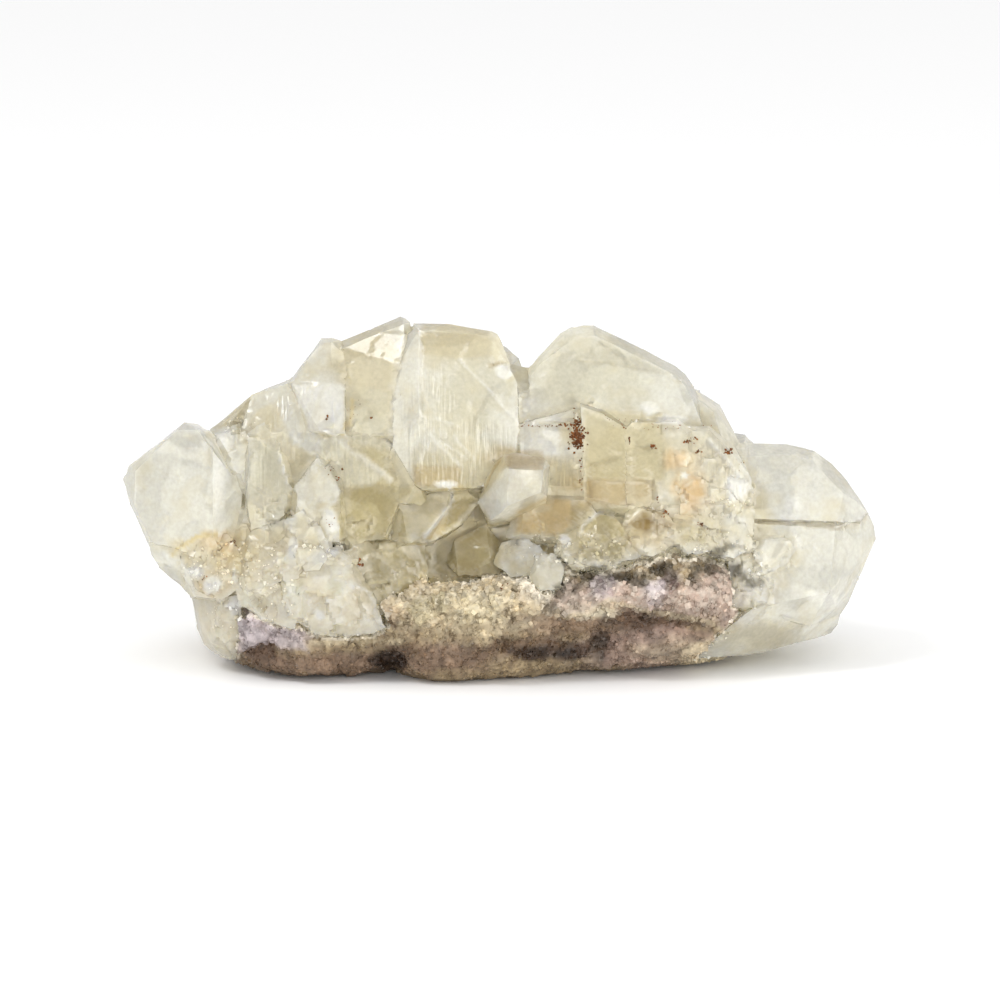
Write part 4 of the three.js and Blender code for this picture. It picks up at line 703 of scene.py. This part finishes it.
# The crystals: flat faces, broken where they meet, and sugary near the matrix
BEHIND = (2 * MM, 8 * MM)  # the unseen back begins between these depths
SUGAR_UP_TO = (4 * MM, 8 * MM)  # the back is sugary below these heights
SUGAR_EDGE = [[2 * MM, 3 * MM, 32]]
SUGAR_REACH = 1.6 * MM  # from the matrix
CRYSTAL_CHIPS = ((2.4 * MM, 34), (1.1 * MM, 44))
CRYSTAL_WAVES = [[0.05, 3.4 * MM, 35]]
SMOOTH_RELIEF = 0.06  # mm, of the wide chips where nothing is broken
BROKEN_RELIEF = (0.5, 0.12)  # mm, of the wide and the small chips
SUGAR_RELIEF = 0.22  # mm
CRYSTAL_STEPS = (-0.6, 0.35)  # mm, the most that a point goes in and out
CRYSTAL_SINK = 0.12  # mm, so that the edges that stand out stay in the size of the solid
CRYSTAL_CONTRAST = (0.175, 0.1225)
CRYSTAL_VARIETY = 0.06
# How strongly these show, 0 to 1
LOW_SUGAR = 0.7
OPEN_JOINTS = 0.5
BREAKS_BEHIND = 0.8
SUGAR_CRACKS = 0.5
SMALL_CHIP_EDGES = 0.7
# Painted highlights on sharp outer edges: how strong they are, and the sharpness where they begin
EDGE_HIGHLIGHT_SHARE = 0.3
EDGE_HIGHLIGHT_FROM = 0.5  # the sharpness at which an edge turns bright


def sugary_share(place, points, behind, matrix):
    """Where small crystals cover the faces: marked places, the low back and next to the matrix."""
    sugary = np.maximum(joined_patches(SUGARY, place, points), behind * spots(points, "sugar behind"))
    low = 1 - rise(*SUGAR_UP_TO, points[:, 2] + layered_noise(points, SUGAR_EDGE))
    sugary = np.maximum(sugary, LOW_SUGAR * low * behind)
    on_matrix = near_piece(points, matrix, SUGAR_REACH)
    return np.maximum(sugary, on_matrix), on_matrix


def broken_share(mesh, place, points, behind):
    """Where the crystals are chipped: marked places, the joints between them and spots of the back."""
    joint = np.clip(hollowness(mesh, rounds=5) * spots(points, "open joints"), 0, 1)
    broken = np.maximum(joined_patches(BROKEN, place, points), OPEN_JOINTS * joint)
    return np.maximum(broken, BREAKS_BEHIND * behind * spots(points, "breaks behind"))


def crystal_piece(matrix, chance):
    piece = dense_copy("clear_crystals", "crystal_skin", CRYSTAL_CELL, "SHARP")
    thin_back(piece)
    mesh = piece.data
    points, _ = mesh_arrays(mesh)
    place = seen_place(points)
    behind = rise(*BEHIND, points[:, 1])
    colours = tinted("milk", CRYSTAL_PATCHES, place, points)
    colours, height = faceted(colours, place, points, FACETS, RIDGES, chance)
    sugary, on_matrix = sugary_share(place, points, behind, matrix)
    broken = broken_share(mesh, place, points, behind)
    wide, small = (chips(points, *kind) for kind in CRYSTAL_CHIPS)
    amount = height + layered_noise(points, CRYSTAL_WAVES) + SMOOTH_RELIEF * wide[0]
    amount += broken * (BROKEN_RELIEF[0] * wide[0] + BROKEN_RELIEF[1] * small[0])
    amount += sugary * SUGAR_RELIEF * small[0]
    move_out(mesh, (np.clip(amount, *CRYSTAL_STEPS) - CRYSTAL_SINK) * MM)
    cracked = np.clip(broken + SUGAR_CRACKS * sugary, 0, 1)
    colours = chipped(colours, wide, small, CRYSTAL_CONTRAST, cracked)
    chip_edges = np.maximum(broken * wide[2], SMALL_CHIP_EDGES * cracked * small[2])
    colours = marked(colours, "chip edges", chip_edges)
    colours = marked(colours, "sand behind", behind * spots(points, "sand behind"))
    hollow = hollowness(mesh, rounds=3)
    # Painted light: creases between crystals are lightened against their shade
    colours = marked(colours, "painted crease light", np.clip(hollow, 0, 1))
    colours = marked(colours, "sand contact", on_matrix)
    # Painted highlights: sharp outer edges are whitened as if they catch the light
    edge_highlights = EDGE_HIGHLIGHT_SHARE * np.clip(-hollow - EDGE_HIGHLIGHT_FROM, 0, 1)
    # Painted highlights: white on the glint patches and on sharp outer edges
    painted_highlights = np.maximum(joined_patches(GLINT_PATCHES, place, points, GLINT_SOFT), edge_highlights)
    colours = mixed(colours, "white", painted_highlights)
    colours = marked(colours, "seam", seam_share(place, points))
    paint(mesh, "tint", varied(colours, points, CRYSTAL_VARIETY))
    striated = joined_patches(STRIATED, place, points)
    paint(mesh, "marks", np.stack([striated, sugary, np.zeros(len(points))], axis=1))
    return piece, sugary


# Small grains, joined into one mesh
CUBE = np.array([[x, y, z] for x in (-0.5, 0.5) for y in (-0.5, 0.5) for z in (-0.5, 0.5)])
CUBE_FACES = [[0, 1, 3, 2], [4, 6, 7, 5], [0, 4, 5, 1], [2, 3, 7, 6], [0, 2, 6, 4], [1, 5, 7, 3]]
FLAKE = np.array([[1, 0, 0], [-1, 0, 0], [0, 1, 0], [0, -1, 0], [0, 0, 1], [0, 0, -1]]) * 0.5
FLAKE_FACES = [
    [0, 2, 4], [2, 1, 4], [1, 3, 4], [3, 0, 4],
    [2, 0, 5], [1, 2, 5], [3, 1, 5], [0, 3, 5],
]
MATRIX_GRAINS = 14000
MATRIX_GRAIN = (0.16, 0.56)  # mm, the smallest and the largest
MATRIX_SHADES = (0.65, 1.25)  # of the colour that they lie on
MATRIX_SUNK = 0.15  # of their size
BEHIND_SHARE = 0.35  # how many lie at the back, set against the front
BARE_FOOT = (0.5 * MM, 1 * MM)  # no grain lies below these heights
FINE_BELOW = (4.5, 6.5)  # mm up, as seen
FINE_SHRINK = 0.5
CRYSTAL_GRAINS = 6000
CRYSTAL_GRAIN = (0.1, 0.36)
CRYSTAL_SHADES = (0.6, 0.95)
CRYSTAL_SUNK = 0.2
GRAIN_SHAPE = (0.75, 1.15)  # each side, in grain sizes
LONE_GRAINS = 1e-4  # share of the grains that lies where nothing is sugary


def turns(count, chance):
    """Random rotation matrices."""
    q = chance.normal(size=(count, 4))
    w, x, y, z = (q / np.linalg.norm(q, axis=1, keepdims=True)).T
    return np.array([
        [1 - 2 * (y * y + z * z), 2 * (x * y - z * w), 2 * (x * z + y * w)],
        [2 * (x * y + z * w), 1 - 2 * (x * x + z * z), 2 * (y * z - x * w)],
        [2 * (x * z - y * w), 2 * (y * z + x * w), 1 - 2 * (x * x + y * y)],
    ]).transpose(2, 0, 1)


def joined_grains(name, corners, faces, places, sizes, colours, chance):
    """One mesh of many small grains, each turned its own way: sizes has three numbers for each."""
    shape = corners[None] * sizes[:, None, :]
    points = np.einsum("nij,nkj->nki", turns(len(places), chance), shape) + places[:, None, :]
    start = np.arange(len(places))[:, None, None] * len(corners)
    all_faces = (np.array(faces)[None] + start).reshape(-1, len(faces[0]))
    mesh = bpy.data.meshes.new(name)
    mesh.from_pydata(points.reshape(-1, 3), [], all_faces.tolist())
    paint(mesh, "tint", np.repeat(colours, len(corners), axis=0))
    piece = bpy.data.objects.new(name, mesh)
    bpy.context.scene.collection.objects.link(piece)
    return piece


def scattered(piece, weight, count, chance):
    """Places, normals and colours of random spots on a piece, more where its corners weigh more."""
    mesh = piece.data
    mesh.calc_loop_triangles()
    triangles = np.zeros(len(mesh.loop_triangles) * 3, np.int32)
    mesh.loop_triangles.foreach_get("vertices", triangles)
    triangles = triangles.reshape(-1, 3)
    points, normals = mesh_arrays(mesh)
    a, b, c = (points[triangles[:, k]] for k in range(3))
    share = np.linalg.norm(np.cross(b - a, c - a), axis=1) * weight[triangles].mean(axis=1)
    chosen = chance.choice(len(triangles), count, p=share / share.sum())
    colours = np.zeros(len(points) * 4, np.float32)
    mesh.color_attributes["tint"].data.foreach_get("color", colours)
    colours = colours.reshape(-1, 4)[:, :3]
    first = triangles[chosen, 0]
    return a[chosen], normals[first], colours[first]


def sunk_cubes(name, spot, sizes, sunk, shades, chance):
    """Small cubes on scattered spots, sunk in by a share of their size, of varied shape and shade."""
    places, normals, colours = spot
    count = len(places)
    sizes = sizes[:, None] * chance.uniform(*GRAIN_SHAPE, (count, 3))
    places = places - normals * sizes[:, :1] * sunk
    colours = np.clip(colours * chance.uniform(*shades, (count, 1)), 0, 1)
    return joined_grains(name, CUBE, CUBE_FACES, places, sizes, colours, chance)


def matrix_grains(matrix, chance):
    points, _ = mesh_arrays(matrix.data)
    in_front = points[:, 1] < 0
    weight = rise(*BARE_FOOT, points[:, 2]) * (BEHIND_SHARE + in_front)
    spot = scattered(matrix, weight, MATRIX_GRAINS, chance)
    _, up = seen_place(spot[0])
    fine = 1 - rise(*FINE_BELOW, up)
    smallest, largest = MATRIX_GRAIN
    larger = chance.random(MATRIX_GRAINS) ** 2 * (1 - FINE_SHRINK * fine)
    sizes = (smallest + (largest - smallest) * larger) * MM
    return sunk_cubes("matrix_grains", spot, sizes, MATRIX_SUNK, MATRIX_SHADES, chance)


def crystal_grains(crystals, sugary, chance):
    spot = scattered(crystals, sugary ** 2 + LONE_GRAINS, CRYSTAL_GRAINS, chance)
    smallest, largest = CRYSTAL_GRAIN
    sizes = (smallest + (largest - smallest) * chance.random(CRYSTAL_GRAINS) ** 3) * MM
    return sunk_cubes("crystal_grains", spot, sizes, CRYSTAL_SUNK, CRYSTAL_SHADES, chance)


# Rust: [right, up, spread to the side, spread up, flakes, size in mm]
RUST = [
    [7.7, 24, 0.55, 0.9, 150, 0.26], [7.7, 25.6, 0.2, 0.35, 14, 0.24], [6.6, 25.2, 0.7, 0.12, 22, 0.2],
    [4.2, 25.1, 1.8, 0.12, 26, 0.13], [8.1, 20.4, 0.12, 2, 12, 0.16], [15.3, 23.1, 0.3, 0.15, 14, 0.24],
    [18.8, 23.5, 0.5, 0.12, 12, 0.22], [19.4, 23.9, 0.3, 0.12, 8, 0.2], [19.8, 22.5, 0.15, 0.15, 6, 0.2],
    [22.8, 22.5, 0.35, 0.25, 18, 0.26], [12.9, 23.6, 0.2, 0.2, 6, 0.2], [12.3, 25, 0.2, 0.2, 5, 0.16],
    [15.5, 25, 3, 0.25, 18, 0.12], [16.5, 16.4, 0.3, 0.3, 12, 0.2], [20.2, 15.2, 0.3, 0.2, 10, 0.22],
    [15.8, 17.8, 0.1, 0.3, 6, 0.16], [-14, 11.3, 0.2, 0.3, 12, 0.22], [-15.8, 20.8, 0.1, 0.2, 5, 0.22],
    [-16.2, 19.9, 0.15, 0.2, 6, 0.2], [-17, 20.8, 0.3, 0.8, 8, 0.16], [-12.9, 25.9, 0.08, 0.08, 4, 0.24],
    [-17.3, 25.9, 0.1, 0.15, 4, 0.22], [-14.6, 26.6, 0.5, 0.8, 8, 0.12], [-29.6, 9.9, 0.15, 0.2, 5, 0.18],
    [-26.6, 13.6, 0.3, 0.3, 8, 0.16], [-17, 15.2, 0.4, 1, 8, 0.12], [0.5, 9.2, 0.4, 0.5, 12, 0.2],
    [7.4, 26.6, 0.05, 0.3, 4, 0.14], [24, 21.6, 0.3, 0.5, 6, 0.12], [11.8, 25.6, 1.4, 0.3, 10, 0.1],
]
RUST_COLOUR = (112, 66, 30)
RUST_SPREAD = 0.7
RUST_SIZES = (0.6, 1.4)  # of the size of their row
RUST_SHADES = (0.5, 1.5)
RUST_SHAPE = (0.7, 1.3)


def rust_flakes(carriers, chance):
    """Flakes on the first surface that the eye meets at each place."""
    trees = [BVHTree.FromObject(piece, bpy.context.evaluated_depsgraph_get()) for piece in carriers]
    places, sizes, colours = [], [], []
    for right, up, side, high, count, size in RUST:
        for _ in range(count):
            to_side = right + RUST_SPREAD * side * chance.normal()
            to_top = up + RUST_SPREAD * high * chance.normal()
            line = sight_line(to_side, to_top)
            hits = [hit for tree in trees if (hit := tree.ray_cast(EYE, line))[0] is not None]
            if not hits:
                continue
            places.append(min(hits, key=lambda hit: hit[3])[0])
            sizes.append(size * chance.uniform(*RUST_SIZES) * MM)
            colours.append(linear(RUST_COLOUR) * chance.uniform(*RUST_SHADES))
    places = np.array(places)
    sizes = np.array(sizes)[:, None] * chance.uniform(*RUST_SHAPE, (len(places), 3))
    return joined_grains("rust_flakes", FLAKE, FLAKE_FACES, places, sizes, np.array(colours), chance)


# Materials
FLUORITE_IOR = 1.434
CRYSTAL_LOOK = {
    "Transmission Weight": 0.55,
    "IOR": FLUORITE_IOR,
    "Subsurface Weight": 0.6,
    "Subsurface Radius": (1, 0.95, 0.75),
    "Subsurface Scale": 1 * MM,
}
ABSORBED = (0.92, 0.88, 0.66, 1)
ABSORPTION = 25.0  # per metre
HAZE = (226, 216, 184)
ETCH = {"Scale": 1700, "Detail": 1, "Roughness": 0.6}
VEINS = {"Scale": 260, "Detail": 2, "Roughness": 0.65}
STRIPES = {"Rotation": (0.3, 0.75, 0.2), "Scale": (3200, 300, 300)}
HAZE_SPAN = (0.52, 0.72)  # of the veins' noise
HAZE_STRENGTH = 0.45
CRYSTAL_MOTTLE = (0.93, 1.06, 2600)  # darkest, lightest, and spots in a metre
CRYSTAL_ROUGHNESS = (0.05, 0.2)
ETCH_SHARE = (0.15, 0.8)  # of the relief, where a face is smooth and where it is sugary
CRYSTAL_BUMP = 0.7
CRUST_MOTTLE = (0.75, 1.2, 1600)
CRUST_ROUGHER = (-0.15, 0.25)  # than the roughness that is asked for, on the grains and between them
CRUST_BUMP = 0.5
GRIT_SCALE = 3000
BUMP_DEPTH = 0.12 * MM
NOISE_SPAN = (0.3, 0.7)  # nearly all values of a noise lie in it


def new_material(name):
    material = bpy.data.materials.new(name)
    material.use_nodes = True
    return material, material.node_tree, material.node_tree.nodes["Principled BSDF"]


def add(tree, kind, links=(), **values):
    """A node with its values set and its inputs linked: links are (input name, output socket)."""
    node = tree.nodes.new(kind)
    for name, value in values.items():
        if name in node.inputs:
            node.inputs[name].default_value = value
        else:
            setattr(node, name, value)
    for name, socket in links:
        tree.links.new(socket, node.inputs[name])
    return node


def attribute(tree, name):
    return add(tree, "ShaderNodeAttribute", attribute_name=name, attribute_type="GEOMETRY").outputs["Color"]


def object_space(tree):
    return add(tree, "ShaderNodeTexCoord").outputs["Object"]


def noise(tree, place, **values):
    return add(tree, "ShaderNodeTexNoise", [("Vector", place)], **values).outputs["Fac"]


def respread(tree, value, span, onto):
    """The value's span spread onto another one."""
    node = add(tree, "ShaderNodeMapRange", [("Value", value)])
    for name, number in zip(("From Min", "From Max", "To Min", "To Max"), (*span, *onto)):
        node.inputs[name].default_value = number
    return node.outputs["Result"]


def mottled(tree, colour, place, mottle):
    """The colour times a noise: mottle is the darkest, the lightest and the scale."""
    low, high, scale = mottle
    factor = respread(tree, noise(tree, place, Scale=scale, Detail=2), NOISE_SPAN, (low, high))
    scaled = add(tree, "ShaderNodeVectorMath", [(0, colour)], operation="SCALE")
    tree.links.new(factor, scaled.inputs["Scale"])
    return scaled.outputs["Vector"]


def blended(tree, colour, share, other):
    mix = add(tree, "ShaderNodeMix", data_type="RGBA")
    tree.links.new(share, mix.inputs["Factor"])
    colour_inputs = [socket for socket in mix.inputs if socket.type == "RGBA"]
    tree.links.new(colour, colour_inputs[0])
    colour_inputs[1].default_value = (*linear(other), 1)
    return next(socket for socket in mix.outputs if socket.type == "RGBA")


def combined(tree, operation, first, second):
    return add(tree, "ShaderNodeMath", [(0, first), (1, second)], operation=operation).outputs[0]


def bumped(tree, shader, relief, strength):
    bump = add(tree, "ShaderNodeBump", [("Height", relief)], Strength=strength, Distance=BUMP_DEPTH)
    tree.links.new(bump.outputs["Normal"], shader.inputs["Normal"])


def crystal_material():
    """Clear and a little milky, with etched, striated and sugary faces and pale veins."""
    material, tree, shader = new_material("clear_fluorite")
    place = object_space(tree)
    marks = add(tree, "ShaderNodeSeparateColor", [("Color", attribute(tree, "marks"))])
    striated, sugary = marks.outputs["Red"], marks.outputs["Green"]
    etch = noise(tree, place, **ETCH)
    veins = noise(tree, place, **VEINS)
    stretched = add(tree, "ShaderNodeMapping", [("Vector", place)], **STRIPES)
    stripes = noise(tree, stretched.outputs["Vector"], Scale=1, Detail=1)

    colour = mottled(tree, attribute(tree, "tint"), place, CRYSTAL_MOTTLE)
    colour = blended(tree, colour, respread(tree, veins, HAZE_SPAN, (0, HAZE_STRENGTH)), HAZE)
    tree.links.new(colour, shader.inputs["Base Color"])
    for name, value in CRYSTAL_LOOK.items():
        shader.inputs[name].default_value = value

    pits = combined(tree, "MULTIPLY", etch, respread(tree, sugary, (0, 1), ETCH_SHARE))
    relief = combined(tree, "ADD", combined(tree, "MULTIPLY", stripes, striated), pits)
    bumped(tree, shader, relief, CRYSTAL_BUMP)
    rough = respread(tree, etch, NOISE_SPAN, CRYSTAL_ROUGHNESS)
    tree.links.new(rough, shader.inputs["Roughness"])
    volume = add(tree, "ShaderNodeVolumeAbsorption", Density=ABSORPTION, Color=ABSORBED)
    tree.links.new(volume.outputs["Volume"], tree.nodes["Material Output"].inputs["Volume"])
    return material


def crust_material(name, roughness):
    """Gritty and mottled, rougher between its grains."""
    material, tree, shader = new_material(name)
    place = object_space(tree)
    colour = mottled(tree, attribute(tree, "tint"), place, CRUST_MOTTLE)
    tree.links.new(colour, shader.inputs["Base Color"])
    shader.inputs["IOR"].default_value = FLUORITE_IOR
    grit = add(tree, "ShaderNodeTexVoronoi", [("Vector", place)], Scale=GRIT_SCALE).outputs["Distance"]
    bumped(tree, shader, grit, CRUST_BUMP)
    rough = respread(tree, grit, (0, 1), [roughness + more for more in CRUST_ROUGHER])
    tree.links.new(rough, shader.inputs["Roughness"])
    return material


def dress(piece, material, slot, *nodes):
    piece.data.materials.clear()
    piece.data.materials.append(material)
    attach(piece, "root")
    if nodes:
        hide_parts(*nodes)


# Floor, light and camera
FLOOR_SIZE = 12
FLOOR_COLOUR = (0.96, 0.96, 0.96, 1)
FLOOR_ROUGHNESS = 0.9
SKY_STRENGTH = 0.95
LIGHTS = [  # name, place, watts and size in metres
    ["key_light", (-0.3, -0.2, 0.5), 1.0, 0.16],
    ["front_light", (0.1, -0.7, 0.12), 1.4, 0.4],
    ["side_light", (0.5, -0.3, 0.2), 1.0, 0.25],
]


def floor():
    bpy.ops.mesh.primitive_plane_add(size=FLOOR_SIZE)
    plane = bpy.context.object
    plane.name = "floor"
    material, _, shader = new_material("pale_floor")
    shader.inputs["Base Color"].default_value = FLOOR_COLOUR
    shader.inputs["Roughness"].default_value = FLOOR_ROUGHNESS
    plane.data.materials.append(material)


def softbox(name, place, power, size):
    light = bpy.data.lights.new(name, "AREA")
    light.energy = power
    light.size = size
    lamp = bpy.data.objects.new(name, light)
    bpy.context.scene.collection.objects.link(lamp)
    lamp.location = Vector(place)
    lamp.rotation_euler = (VIEW_TARGET - lamp.location).to_track_quat("-Z", "Y").to_euler()


def studio():
    world = bpy.data.worlds.new("studio")
    bpy.context.scene.world = world
    world.use_nodes = True
    sky = world.node_tree.nodes["Background"]
    sky.inputs["Color"].default_value = (1, 1, 1, 1)
    sky.inputs["Strength"].default_value = SKY_STRENGTH
    for light in LIGHTS:
        softbox(*light)
    bpy.context.scene.view_settings.view_transform = "Standard"


def camera():
    lens = bpy.data.cameras.new("camera")
    lens.lens = LENS
    lens.sensor_width = SENSOR
    viewer = bpy.data.objects.new("camera", lens)
    bpy.context.scene.collection.objects.link(viewer)
    viewer.location = EYE
    viewer.rotation_euler = FORWARD.to_track_quat("-Z", "Y").to_euler()
    bpy.context.scene.camera = viewer


# The cluster, then the studio
ROUGHNESS = {"druzy_crust": 0.4, "druse_sugar": 0.3, "crystal_sugar": 0.35, "rust": 0.7}
crusts = {name: crust_material(name, roughness) for name, roughness in ROUGHNESS.items()}
chance = np.random.default_rng(SEED)
matrix = matrix_piece(chance)
crystals, sugary = crystal_piece(matrix, chance)
dress(crystals, crystal_material(), "clear_crystal", "clear_crystals")
dress(matrix, crusts["druzy_crust"], "matrix_stone", "druzy_matrix")
dress(matrix_grains(matrix, chance), crusts["druse_sugar"], "matrix_stone")
dress(crystal_grains(crystals, sugary, chance), crusts["crystal_sugar"], "clear_crystal")
dress(rust_flakes([crystals, matrix], chance), crusts["rust"], "matrix_stone")
floor()
studio()
camera()
